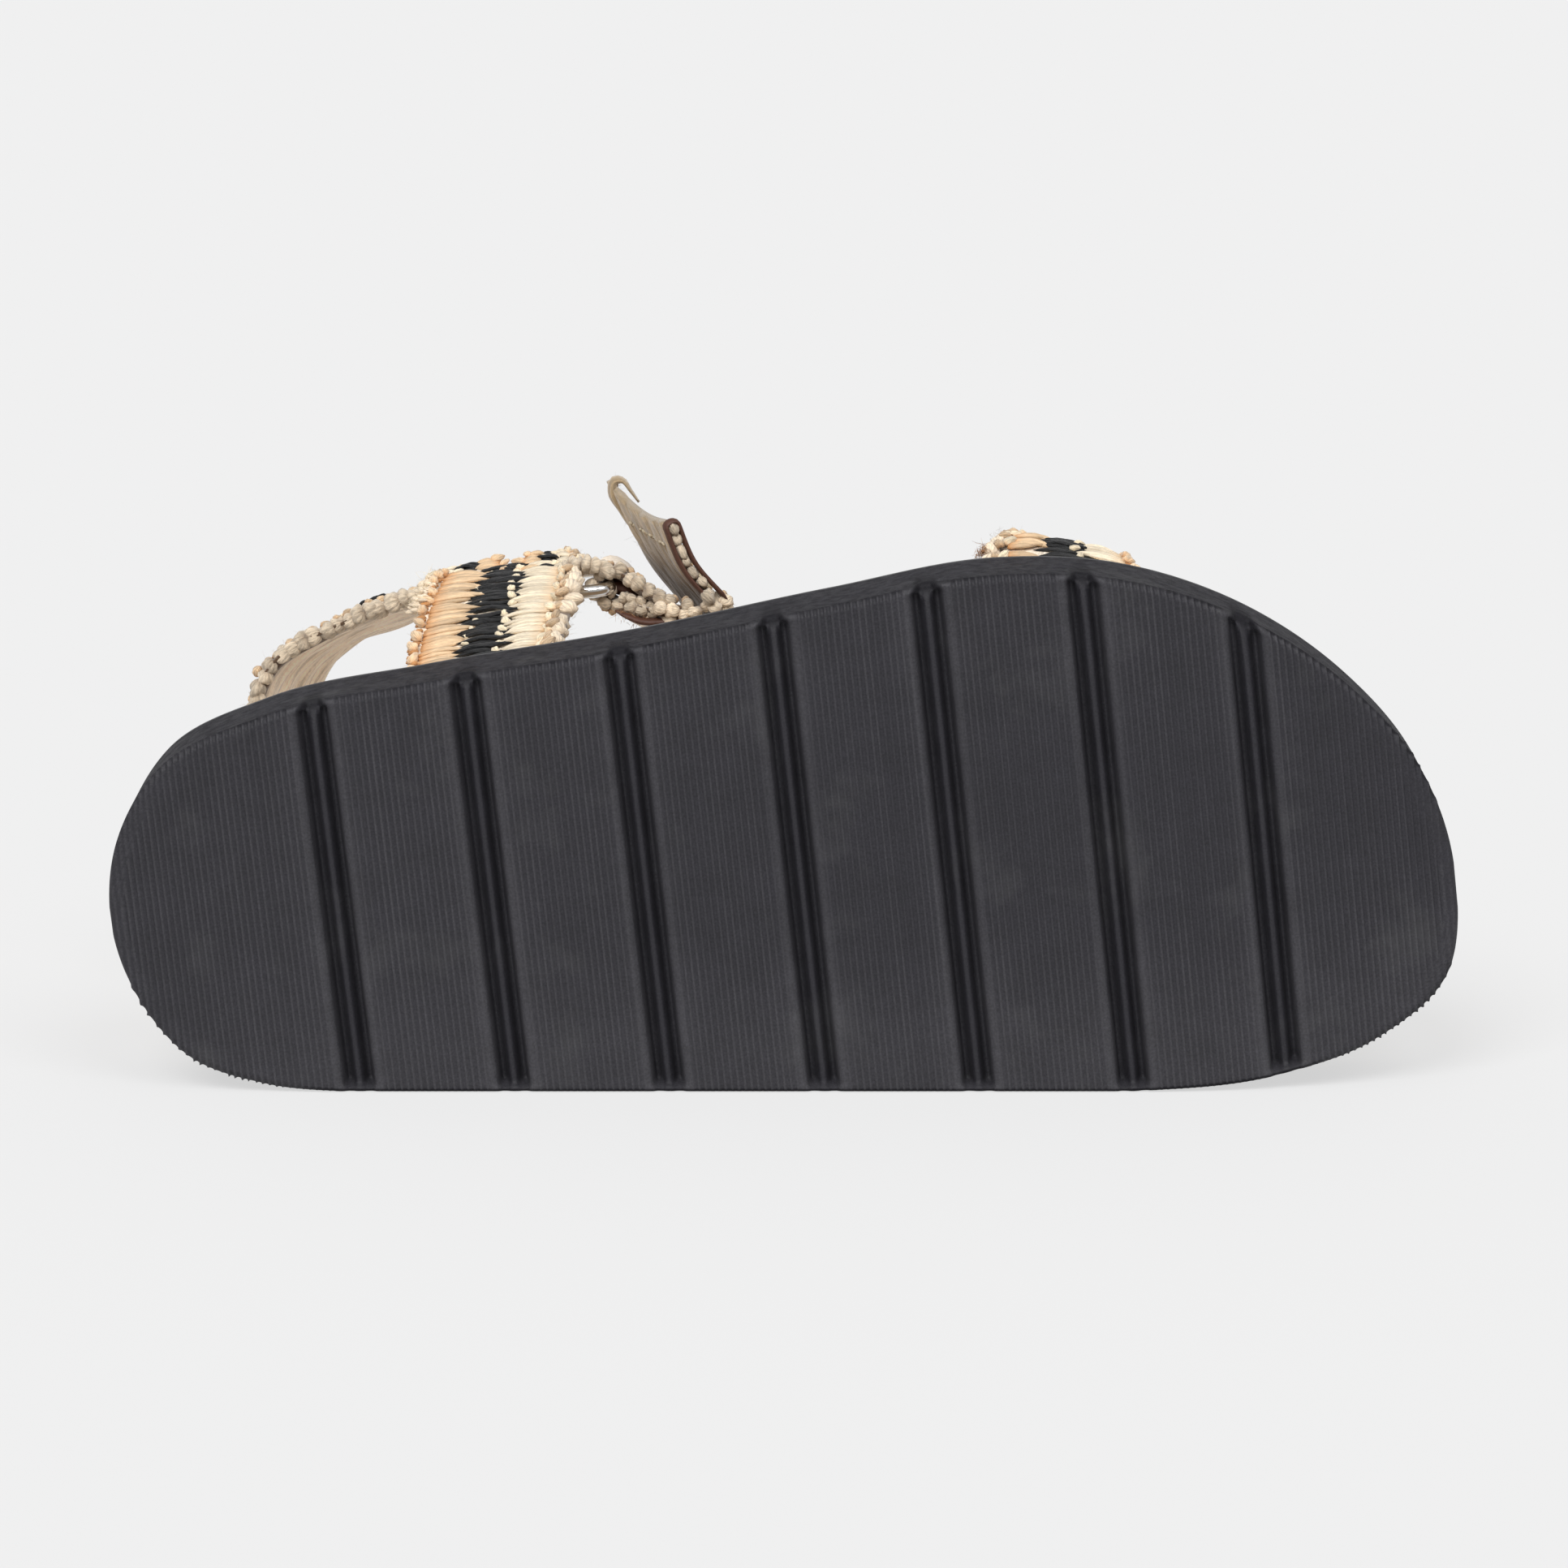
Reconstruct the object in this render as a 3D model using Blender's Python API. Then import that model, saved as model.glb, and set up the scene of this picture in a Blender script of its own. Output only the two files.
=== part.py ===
"""A woven strap sandal for the right foot, lying on its inner side.

Every piece is worked out upright in the shoe's own frame, in millimetres: x runs from heel to toe, y towards
the inner side and z up from the tread. An empty then lays the shoe down with its tread to -Y, its toe to +X
and its outer side up, so that the inner side wall of the sole and the inner quarter rest on the floor.
"""

import math
from collections import namedtuple

import bmesh
import bpy
import numpy as np
from mathutils import Matrix

MM = 0.001
GAP = 0.3

# Driving dimensions of the sole
SOLE_LENGTH = 261.0
BALL_WIDTH = 104.0
SOLE_THICKNESS = 24.0
HEEL_ROLL, HEEL_ROLL_RUN = 3.0, 22.0
TOE_SPRING, TOE_SPRING_START = 8.0, 196.0
TOE_RIM_LIFT = 2.6
TREAD_EDGE_RADIUS = 1.3
RIM_RADIUS = 1.6

# Cross troughs of the tread
TROUGH_COUNT = 7
TROUGH_PITCH = 30.0
FIRST_TROUGH = 44.3

# The way it lies: the straight inner side is turned down onto the floor by this angle
SIDE_SLANT = math.radians(6.3)
FLOOR_AT_HEEL = 31.8
STRAP_FLOOR_CLEARANCE = 0.1

# Insole
INSOLE_THICKNESS = 3.0
INSOLE_INSET = 2.0
INSOLE_EDGE_RADIUS = 1.2
NOTCH_GAP, NOTCH_REACH = 0.7, 6.0

# Strap walls: half thickness at the braided edge, in the weave and at the looped edge
BRAID_HALF, WEAVE_HALF, LOOP_HALF = 1.9, 1.25, 1.5
BRAID_WIDTH, LOOP_WIDTH = 4.0, 3.0
FOLDED_HALF = 1.1
FOLDED_EDGE_HALF = 1.3

# Metal ring and the loop that holds it inside the outer quarter
RING_WIRE_RADIUS = 1.4
RING_REAR, RING_FRONT = 91.6, 100.2
RING_LOW, RING_HIGH = 78.0, 104.0
RING_OUT = -43.9
RING_CORNER = 2.6
LOOP_WALL = 1.8
LOOP_LOW, LOOP_HIGH = 81.0, 101.0

Plan = namedtuple("Plan", "along across")
Trough = namedtuple("Trough", "offset rise")
Edges = namedtuple("Edges", "x y z x_far y_far z_far")

# Plan of the sole, from the heel tip along the outer side to the toe and back along the inner side
OUTLINE = (
    Plan(0.000, 0.006),
    Plan(0.009, -0.148),
    Plan(0.053, -0.304),
    Plan(0.131, -0.377),
    Plan(0.254, -0.408),
    Plan(0.404, -0.430),
    Plan(0.558, -0.469),
    Plan(0.685, -0.492),
    Plan(0.773, -0.458),
    Plan(0.867, -0.349),
    Plan(0.935, -0.202),
    Plan(0.978, -0.049),
    Plan(1.000, 0.163),
    Plan(0.985, 0.376),
    Plan(0.928, 0.471),
    Plan(0.854, 0.513),
    Plan(0.731, 0.510),
    Plan(0.462, 0.437),
    Plan(0.173, 0.356),
    Plan(0.101, 0.319),
    Plan(0.045, 0.250),
    Plan(0.014, 0.139),
)

# Half of one trough: how far the tread rises at a distance from the trough's middle, with its low ridge
TROUGH = (
    Trough(0.00, 1.7),
    Trough(0.75, 1.8),
    Trough(1.10, 4.8),
    Trough(2.30, 5.0),
    Trough(2.90, 3.6),
    Trough(3.30, 1.2),
    Trough(4.40, 0.35),
    Trough(6.40, 0.0),
)

# Toe strap from the outer rim to the inner rim: rear edge, then front edge
TOE_STRAP = (
    Edges(175.0, -48.2, 24.9, 206.5, -43.2, 24.9),
    Edges(177.8, -51.2, 36.0, 205.6, -44.4, 34.0),
    Edges(181.0, -49.2, 52.0, 204.6, -41.2, 48.0),
    Edges(184.5, -36.5, 67.0, 206.0, -30.5, 60.0),
    Edges(188.5, -8.0, 74.0, 211.5, -5.0, 66.0),
    Edges(192.0, 20.0, 73.0, 216.5, 21.0, 65.0),
    Edges(194.0, 41.0, 61.0, 219.5, 40.0, 55.0),
    Edges(194.5, 50.8, 42.0, 220.0, 49.6, 39.0),
    Edges(194.0, 50.6, 24.6, 219.5, 49.8, 25.0),
)

# Outer quarter from the rim upwards: rear edge, then front edge
OUTER_QUARTER = (
    Edges(60.8, -39.2, 25.0, 91.6, -41.0, 25.0),
    Edges(61.8, -43.2, 48.0, 93.4, -44.0, 48.0),
    Edges(64.2, -47.2, 68.0, 94.8, -46.8, 68.0),
    Edges(66.2, -48.4, 82.0, 94.9, -47.6, 82.0),
    Edges(68.0, -48.4, 91.0, 94.6, -47.5, 102.0),
)

# Inner quarter from the rim upwards: rear edge, then front edge
INNER_QUARTER = (
    Edges(60.8, 35.6, 24.8, 91.6, 39.1, 24.8),
    Edges(61.8, 36.8, 48.0, 93.4, 40.4, 48.0),
    Edges(64.2, 37.3, 68.0, 94.8, 40.7, 68.0),
    Edges(66.2, 37.6, 82.0, 94.9, 40.7, 82.0),
    Edges(68.0, 37.6, 91.0, 94.6, 40.6, 101.0),
)

# Ankle strap: outer quarter, round the heel, inner quarter, over the instep to the free end. Low edge, high edge
ANKLE_STRAP = (
    Edges(86.0, -46.2, 73.0, 86.0, -46.2, 89.0),
    Edges(75.0, -46.4, 72.0, 73.0, -46.2, 101.0),
    Edges(60.0, -48.2, 71.5, 58.5, -40.8, 99.5),
    Edges(46.0, -45.0, 72.0, 46.0, -36.8, 98.0),
    Edges(30.3, -36.6, 72.0, 37.2, -27.4, 98.0),
    Edges(22.8, -22.0, 72.0, 33.0, -14.5, 98.0),
    Edges(19.0, -2.0, 72.0, 31.5, -1.0, 98.0),
    Edges(22.5, 18.0, 72.0, 33.0, 12.5, 98.0),
    Edges(30.5, 29.6, 72.0, 37.4, 23.5, 98.0),
    Edges(46.0, 34.0, 72.0, 46.5, 30.5, 98.0),
    Edges(60.0, 35.6, 71.5, 58.5, 33.6, 99.5),
    Edges(79.0, 37.4, 72.5, 77.0, 36.8, 100.0),
    Edges(100.0, 38.4, 75.0, 97.0, 37.8, 103.0),
    Edges(117.0, 33.5, 78.0, 109.0, 31.5, 106.0),
    Edges(129.0, 18.5, 80.0, 118.0, 16.5, 108.5),
    Edges(133.5, -1.0, 80.0, 122.0, -3.0, 109.0),
    Edges(131.3, -20.0, 78.5, 120.0, -21.0, 107.0),
    Edges(124.2, -36.5, 76.5, 113.2, -37.0, 104.5),
    Edges(117.0, -47.5, 76.0, 106.2, -50.5, 104.0),
    Edges(114.2, -57.0, 76.0, 101.4, -62.8, 104.0),
)

# Ring strap: from under the instep strap, through the ring and back over itself. Low edge, high edge
RING_STRAP = (
    Edges(129.0, -6.0, 79.0, 117.6, -7.5, 106.0),
    Edges(126.2, -20.5, 78.0, 114.8, -21.0, 105.0),
    Edges(120.0, -32.2, 77.2, 108.8, -28.4, 103.2),
    Edges(113.5, -35.8, 77.4, 104.6, -31.4, 102.6),
    Edges(106.5, -39.0, 78.5, 101.2, -34.2, 102.2),
    Edges(100.4, -40.5, 80.0, 98.8, -38.4, 102.0),
    Edges(97.9, -41.6, 80.0, 97.4, -41.2, 102.0),
    Edges(97.0, -43.9, 80.0, 97.0, -43.9, 102.0),
    Edges(97.9, -46.2, 80.0, 97.9, -46.2, 102.0),
    Edges(100.2, -47.4, 80.0, 100.2, -47.0, 102.0),
    Edges(103.8, -46.1, 79.5, 103.8, -44.8, 102.0),
    Edges(107.8, -42.6, 78.5, 105.4, -39.6, 102.2),
    Edges(112.4, -39.8, 77.5, 106.6, -36.2, 102.4),
    Edges(117.2, -38.0, 77.0, 108.4, -34.0, 102.6),
)

# Stations along each strap
TOE_STATIONS = 34
QUARTER_STATIONS = 16
ANKLE_STATIONS = 84
RING_STRAP_STATIONS = 64
OUTLINE_SAMPLES = 720
END_RUN, END_STATIONS = 24.0, 9
TIP_START = 0.3
INSOLE_STATION_STEP = 9.0
CORNER_STEPS = 3

Finish = namedtuple("Finish", "colour roughness metallic")
FINISHES = {
    "sole_rubber": Finish((0.045, 0.045, 0.048), 0.6, 0.0),
    "footbed": Finish((0.50, 0.38, 0.26), 0.8, 0.0),
    "woven_raffia": Finish((0.80, 0.60, 0.33), 0.6, 0.0),
    "nickel": Finish((0.75, 0.74, 0.72), 0.25, 1.0),
}


def clear_scene():
    for thing in list(bpy.data.objects):
        bpy.data.objects.remove(thing, do_unlink=True)


def material(name):
    finish = FINISHES[name]
    made = bpy.data.materials.new(name)
    made.use_nodes = True
    shader = made.node_tree.nodes["Principled BSDF"]
    shader.inputs["Base Color"].default_value = (*finish.colour, 1.0)
    shader.inputs["Roughness"].default_value = finish.roughness
    shader.inputs["Metallic"].default_value = finish.metallic
    return made


def curve_through(knots, count, closed=False):
    """Evenly spaced points on a smooth curve through the knots.

    Each stretch is a cubic, and its slope at a knot is that of the parabola through the knot and its two
    neighbours, measured along the straight distance from knot to knot.
    """
    knots = np.asarray(knots, float)
    wrap = 3
    if closed:
        knots = np.vstack([knots[-wrap:], knots, knots[: wrap + 1]])
    place = np.concatenate([[0.0], np.cumsum(np.linalg.norm(np.diff(knots, axis=0), axis=1))])
    slope = np.gradient(knots, place, axis=0)
    first, last = (wrap, -1 - wrap) if closed else (0, -1)
    wanted = np.linspace(place[first], place[last], count, endpoint=not closed)
    index = np.clip(np.searchsorted(place, wanted, side="right") - 1, 0, len(place) - 2)
    span = (place[index + 1] - place[index])[:, None]
    t = (wanted - place[index])[:, None] / span
    start = knots[index] * (1 + 2 * t) * (1 - t) ** 2 + slope[index] * span * t * (1 - t) ** 2
    end = knots[index + 1] * t**2 * (3 - 2 * t) - slope[index + 1] * span * t**2 * (1 - t)
    return start + end


def floor_line(x):
    """How far out the floor lies on the inner side, at a place along the shoe."""
    return FLOOR_AT_HEEL + x * math.tan(SIDE_SLANT)


def outline(inset):
    """The sole's plan moved inwards: (x, y) of the outer side and of the inner side, each heel to toe."""
    scale = np.array([SOLE_LENGTH, BALL_WIDTH])
    loop = curve_through(np.array(OUTLINE) * scale, OUTLINE_SAMPLES, closed=True)
    loop[:, 1] = np.minimum(loop[:, 1], floor_line(loop[:, 0]))
    along = np.roll(loop, -1, axis=0) - np.roll(loop, 1, axis=0)
    inward = np.column_stack([-along[:, 1], along[:, 0]])
    loop = loop + inset * inward / np.linalg.norm(inward, axis=1)[:, None]
    heel, toe = np.argmin(loop[:, 0]), np.argmax(loop[:, 0])
    outer = np.roll(loop, -heel, axis=0)[: (toe - heel) % len(loop) + 1]
    inner = np.roll(loop[::-1], heel + 1, axis=0)[: (heel - toe) % len(loop) + 1]
    return outer, inner


def tread(x):
    """Height of the tread: rolled up at the heel, sprung at the toe, and cut by the cross troughs."""
    offsets = [row.offset for row in TROUGH]
    rises = [row.rise for row in TROUGH]
    roll = HEEL_ROLL * np.clip(1 - x / HEEL_ROLL_RUN, 0, 1) ** 2
    cut = np.zeros_like(x)
    for number in range(TROUGH_COUNT):
        middle = FIRST_TROUGH + number * TROUGH_PITCH
        cut = np.maximum(cut, np.interp(np.abs(x - middle), offsets, rises))
    return roll + TOE_SPRING * toe_share(x) + cut


def rim(x):
    """Height of the sole's upper face, lifting a little towards the toe."""
    return SOLE_THICKNESS + TOE_RIM_LIFT * toe_share(x)


def toe_share(x):
    """Rises from nothing where the toe spring starts to one at the toe tip, along a parabola."""
    return np.clip((x - TOE_SPRING_START) / (SOLE_LENGTH - TOE_SPRING_START), 0, 1) ** 2


def end_stations():
    """Stations near the heel tip, closer together towards the tip, as distances from it."""
    turn = np.linspace(0, math.pi / 2, END_STATIONS)
    return TIP_START + (END_RUN - TIP_START) * (1 - np.cos(turn))


def sole_stations():
    places = [end_stations(), SOLE_LENGTH - end_stations()]
    for number in range(TROUGH_COUNT):
        middle = FIRST_TROUGH + number * TROUGH_PITCH
        for row in TROUGH:
            places.append([middle - row.offset, middle + row.offset])
        places.append([middle + TROUGH_PITCH / 2])
    return np.unique(np.concatenate(places).round(3))


def insole_stations():
    middle = np.arange(END_RUN + INSOLE_STATION_STEP, SOLE_LENGTH - END_RUN, INSOLE_STATION_STEP)
    return np.concatenate([end_stations(), middle, SOLE_LENGTH - end_stations()[::-1]])


def level(stations, inset, height):
    """One level of a slab: its outer and inner points at each station, moved inwards by the inset."""
    outer, inner = outline(inset)
    squeeze = np.clip(1 - stations / END_RUN, 0, 1) - np.clip(1 - (SOLE_LENGTH - stations) / END_RUN, 0, 1)
    x = stations + inset * squeeze
    sides = [np.column_stack([x, np.interp(x, *side.T), height(x)]) for side in (outer, inner)]
    return sides


def slab_rings(stations, levels):
    """Cross-sections of a slab from its levels, given bottom to top as (inset, height function)."""
    sides = [level(stations, inset, height) for inset, height in levels]
    outer = [side[0] for side in sides]
    inner = [side[1] for side in reversed(sides)]
    return np.stack(outer + inner, axis=1)


def rounded_edge(radius, base, direction):
    """Levels of a rounded edge: (inset, height) from the face (inset by the radius) to the wall."""
    made = []
    for step in range(CORNER_STEPS):
        turn = math.pi / 2 * step / (CORNER_STEPS - 1)
        inset = radius * (1 - math.sin(turn))
        rise = direction * radius * (1 - math.cos(turn))
        made.append((inset, lambda x, rise=rise: base(x) + rise))
    return made


def strap_across(width, near_half, far_half, weave_half):
    """Places across a strap as shares of its width, with the half thickness at each."""
    near, far = BRAID_WIDTH / width, 1 - LOOP_WIDTH / width
    soft = 0.25
    shares = [0.0, near * soft, near * (1 - soft), near * (1 + soft)]
    shares += [far - soft * (1 - far), far + soft * (1 - far), 1 - soft * (1 - far), 1.0]
    halves = [near_half * 0.55, near_half, near_half, weave_half]
    halves += [weave_half, far_half, far_half, far_half * 0.55]
    return np.array(shares), np.array(halves)


def strap_rings(rows, stations, near_half=BRAID_HALF, far_half=LOOP_HALF, weave_half=WEAVE_HALF, grow=0.0):
    """Cross-sections along a strap whose two edges run smoothly through the rows.

    The wall is thicker along its braided edge and its looped edge, and nothing goes below the floor.
    """
    edges = curve_through(rows, stations)
    near, far = edges[:, None, :3], edges[:, None, 3:]
    reach = far - near
    width = np.linalg.norm(reach, axis=2, keepdims=True)
    near, far = near - reach / width * grow, far + reach / width * grow
    shares, halves = strap_across(float(width.mean()), near_half, far_half, weave_half)
    middle = near + (far - near) * shares[None, :, None]
    normal = np.cross(np.gradient(middle, axis=0), far - near)
    normal = normal / np.linalg.norm(normal, axis=2, keepdims=True)
    offset = normal * (halves + grow)[None, :, None]
    rings = np.concatenate([middle + offset, (middle - offset)[:, ::-1]], axis=1)
    rings[:, :, 1] = np.minimum(rings[:, :, 1], floor_line(rings[:, :, 0]) - STRAP_FLOOR_CLEARANCE)
    return rings


def loft(name, rings):
    """Closed object skinned over a row of rings, with a strip of faces across each end."""
    shape = bmesh.new()
    loops = [[shape.verts.new(point) for point in ring * MM] for ring in rings]
    for this, following in zip(loops, loops[1:]):
        for k in range(len(this)):
            after = (k + 1) % len(this)
            shape.faces.new((this[k], this[after], following[after], following[k]))
    for end in (loops[0], loops[-1]):
        for k in range(len(end) // 2 - 1):
            shape.faces.new((end[k], end[k + 1], end[-2 - k], end[-1 - k]))
    bmesh.ops.recalc_face_normals(shape, faces=shape.faces)
    mesh = bpy.data.meshes.new(name)
    shape.to_mesh(mesh)
    shape.free()
    mesh.shade_smooth()
    mesh.set_sharp_from_angle(angle=math.radians(35))
    made = bpy.data.objects.new(name, mesh)
    bpy.context.collection.objects.link(made)
    return made


def upright_rod(name, x, y, low, high, radius):
    """A round rod that stands on the sole's plane."""
    sides = 20
    turn = np.linspace(0, 2 * math.pi, sides, endpoint=False)
    circle = np.column_stack([x + radius * np.cos(turn), y + radius * np.sin(turn)])
    rings = [np.column_stack([circle, np.full(sides, height)]) for height in (low, high)]
    return loft(name, np.array(rings))


def boolean(target, other, operation):
    """Joins or cuts the target with a helper that isn't a piece of its own."""
    other.hide_render = True
    other.display_type = "WIRE"
    step = target.modifiers.new(other.name, "BOOLEAN")
    step.operation = operation
    step.object = other


def foot_cutter(name, rows):
    """The lower end of a strap, grown by the gap, carried down through the insole and out past its edge."""
    foot, above = np.array(rows[0]), np.array(rows[1])
    down = foot - (above - foot)
    rings = strap_rings([down, foot, above], QUARTER_STATIONS, far_half=BRAID_HALF, grow=NOTCH_GAP)
    outwards = math.copysign(1.0, foot[1])
    faces = np.split(rings, 2, axis=1)
    outer = max(faces, key=lambda face: outwards * face[:, :, 1].mean())
    outer[:, :, 1] += outwards * NOTCH_REACH
    return loft(name, rings)


def make_sole():
    levels = rounded_edge(TREAD_EDGE_RADIUS, tread, 1)
    levels += rounded_edge(RIM_RADIUS, rim, -1)[::-1]
    return loft("sole", slab_rings(sole_stations(), levels))


def make_insole():
    def underside(x):
        return rim(x) + GAP

    def upper_face(x):
        return rim(x) + GAP + INSOLE_THICKNESS

    edge = rounded_edge(INSOLE_EDGE_RADIUS, upper_face, -1)[::-1]
    levels = [(INSOLE_INSET, underside)]
    levels += [(INSOLE_INSET + inset, height) for inset, height in edge]
    insole = loft("insole", slab_rings(insole_stations(), levels))
    feet = {
        "outer_toe_notch": TOE_STRAP,
        "inner_toe_notch": TOE_STRAP[::-1],
        "outer_quarter_notch": OUTER_QUARTER,
        "inner_quarter_notch": INNER_QUARTER,
    }
    for name, rows in feet.items():
        boolean(insole, foot_cutter(name, rows), "DIFFERENCE")
    return insole


def make_toe_strap():
    return loft("toe_strap", strap_rings(TOE_STRAP, TOE_STATIONS))


def make_rear_upper():
    upper = loft("rear_upper", strap_rings(ANKLE_STRAP, ANKLE_STATIONS))
    quarters = {"outer_quarter": OUTER_QUARTER, "inner_quarter": INNER_QUARTER}
    for name, rows in quarters.items():
        rings = strap_rings(rows, QUARTER_STATIONS, near_half=LOOP_HALF, far_half=BRAID_HALF)
        boolean(upper, loft(name, rings), "UNION")
    bore = RING_WIRE_RADIUS + GAP
    loop = upright_rod("ring_loop", RING_REAR, RING_OUT, LOOP_LOW, LOOP_HIGH, bore + LOOP_WALL)
    boolean(upper, loop, "UNION")
    hole = upright_rod("ring_hole", RING_REAR, RING_OUT, RING_LOW, RING_HIGH, bore)
    boolean(upper, hole, "DIFFERENCE")
    return upper


def make_ring():
    """Rectangular ring of round wire with rounded corners, flat along the outer quarter."""
    corners = (
        (RING_FRONT, RING_HIGH, 0.0),
        (RING_REAR, RING_HIGH, 0.5),
        (RING_REAR, RING_LOW, 1.0),
        (RING_FRONT, RING_LOW, 1.5),
    )
    middle = ((RING_FRONT + RING_REAR) / 2, (RING_LOW + RING_HIGH) / 2)
    steps = 6
    points = []
    for x, z, quarter_turn in corners:
        centre_x = x - math.copysign(RING_CORNER, x - middle[0])
        centre_z = z - math.copysign(RING_CORNER, z - middle[1])
        for step in range(steps):
            turn = math.pi * (quarter_turn + 0.5 * step / (steps - 1))
            points.append((centre_x + RING_CORNER * math.cos(turn), centre_z + RING_CORNER * math.sin(turn)))
    wire = bpy.data.curves.new("ring", "CURVE")
    wire.dimensions = "3D"
    wire.bevel_depth = RING_WIRE_RADIUS * MM
    wire.bevel_resolution = 3
    spline = wire.splines.new("POLY")
    spline.points.add(len(points) - 1)
    for point, (x, z) in zip(spline.points, points):
        point.co = (x * MM, RING_OUT * MM, z * MM, 1.0)
    spline.use_cyclic_u = True
    made = bpy.data.objects.new("ring", wire)
    bpy.context.collection.objects.link(made)
    return made


def make_ring_strap():
    rings = strap_rings(
        RING_STRAP,
        RING_STRAP_STATIONS,
        near_half=FOLDED_EDGE_HALF,
        far_half=FOLDED_EDGE_HALF,
        weave_half=FOLDED_HALF,
    )
    return loft("ring_strap", rings)


def lay_down(pieces):
    """Turns the shoe onto its inner side, with the middle of its box above the world's origin."""
    holder = bpy.data.objects.new("laid_on_inner_side", None)
    bpy.context.collection.objects.link(holder)
    holder.matrix_world = Matrix.Rotation(-math.pi / 2, 4, "X") @ Matrix.Rotation(-SIDE_SLANT, 4, "Z")
    for thing in bpy.data.objects:
        if thing is not holder:
            thing.parent = holder
    bpy.context.view_layer.update()
    graph = bpy.context.evaluated_depsgraph_get()
    corners = []
    for piece in pieces:
        solid = piece.evaluated_get(graph)
        mesh = solid.to_mesh()
        corners.append([solid.matrix_world @ vertex.co for vertex in mesh.vertices])
        solid.to_mesh_clear()
    points = np.concatenate([np.array(found) for found in corners])
    centre = (points.min(axis=0) + points.max(axis=0)) / 2
    holder.location = (-centre[0], -centre[1], FLOOR_AT_HEEL * math.cos(SIDE_SLANT) * MM)


def main():
    clear_scene()
    pieces = {
        make_sole(): "sole_rubber",
        make_insole(): "footbed",
        make_toe_strap(): "woven_raffia",
        make_rear_upper(): "woven_raffia",
        make_ring(): "nickel",
        make_ring_strap(): "woven_raffia",
    }
    finishes = {name: material(name) for name in FINISHES}
    for piece, finish in pieces.items():
        piece.data.materials.append(finishes[finish])
    lay_down(list(pieces))


main()
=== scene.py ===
"""Looks of a woven strap sandal that lies on its inner side.

Shapes are worked out upright in the shoe's own frame, in millimetres: x from heel to toe, y towards the inner
side, z up from the tread. laid_down() then turns them into the frame's metres.
"""

import math
from collections import namedtuple

import bpy
import numpy as np
from bpy.props import FloatProperty, FloatVectorProperty, IntProperty, PointerProperty
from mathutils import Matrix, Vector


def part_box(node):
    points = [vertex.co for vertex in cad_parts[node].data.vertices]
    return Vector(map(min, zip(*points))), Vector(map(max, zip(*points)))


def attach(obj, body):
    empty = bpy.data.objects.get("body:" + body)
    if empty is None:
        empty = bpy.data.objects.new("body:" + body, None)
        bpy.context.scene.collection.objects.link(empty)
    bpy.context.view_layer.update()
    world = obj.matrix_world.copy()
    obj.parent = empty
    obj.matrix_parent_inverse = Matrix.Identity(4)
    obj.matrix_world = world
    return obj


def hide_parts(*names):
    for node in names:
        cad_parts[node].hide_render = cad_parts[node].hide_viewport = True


bl_info = {
    "name": "Woven Strap Sandal",
    "version": (1, 0, 0),
    "blender": (4, 5, 0),
    "location": "3D View > Sidebar > Sandal",
    "description": "Dresses a strap sandal: ribbed sole, raffia stripes, jute edges and a metal ring",
    "category": "Object",
}

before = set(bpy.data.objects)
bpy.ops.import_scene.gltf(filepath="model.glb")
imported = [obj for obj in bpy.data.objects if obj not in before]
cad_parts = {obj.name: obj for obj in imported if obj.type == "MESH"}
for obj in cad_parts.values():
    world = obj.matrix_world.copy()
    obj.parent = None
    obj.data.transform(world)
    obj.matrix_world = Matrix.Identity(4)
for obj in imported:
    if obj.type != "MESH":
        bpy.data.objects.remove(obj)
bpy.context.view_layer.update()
BODY = "root"
MM = 0.001

# Form of the sole
SOLE_LENGTH = 261.0
BALL_WIDTH = 104.0
SOLE_THICKNESS = 24.0
HEEL_ROLL, HEEL_ROLL_RUN = 3.0, 22.0
TOE_SPRING, TOE_SPRING_START = 8.0, 196.0
TOE_RIM_LIFT = 2.6
TREAD_EDGE_RADIUS, RIM_RADIUS = 1.3, 1.6
TROUGH_COUNT, TROUGH_PITCH, FIRST_TROUGH = 7, 30.0, 44.3

# The way it lies
SIDE_SLANT = math.radians(6.3)
FLOOR_AT_HEEL = 31.8
FLOOR_CLEARANCE = 0.1

# Footbed
FOOTBED_GAP, FOOTBED_THICKNESS, FOOTBED_INSET, FOOTBED_EDGE = 0.3, 3.0, 2.0, 1.2
NOTCH_GAP, NOTCH_DEPTH = 0.7, 2.6

# Metal ring
WIRE_RADIUS = 1.4
RING_REAR, RING_FRONT, RING_LOW, RING_HIGH, RING_OUT, RING_CORNER = 91.6, 100.2, 78.0, 104.0, -43.9, 2.6

Plan = namedtuple("Plan", "along across")
Trough = namedtuple("Trough", "offset rise")
Edges = namedtuple("Edges", "x y z x_far y_far z_far")

# Plan of the sole, from the heel tip along the outer side to the toe and back along the inner side
OUTLINE = (
    Plan(0.000, 0.006),
    Plan(0.009, -0.148),
    Plan(0.053, -0.304),
    Plan(0.131, -0.377),
    Plan(0.254, -0.408),
    Plan(0.404, -0.430),
    Plan(0.558, -0.469),
    Plan(0.685, -0.492),
    Plan(0.773, -0.458),
    Plan(0.867, -0.349),
    Plan(0.935, -0.202),
    Plan(0.978, -0.049),
    Plan(1.000, 0.163),
    Plan(0.985, 0.376),
    Plan(0.928, 0.471),
    Plan(0.854, 0.513),
    Plan(0.731, 0.510),
    Plan(0.462, 0.437),
    Plan(0.173, 0.356),
    Plan(0.101, 0.319),
    Plan(0.045, 0.250),
    Plan(0.014, 0.139),
)

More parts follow.
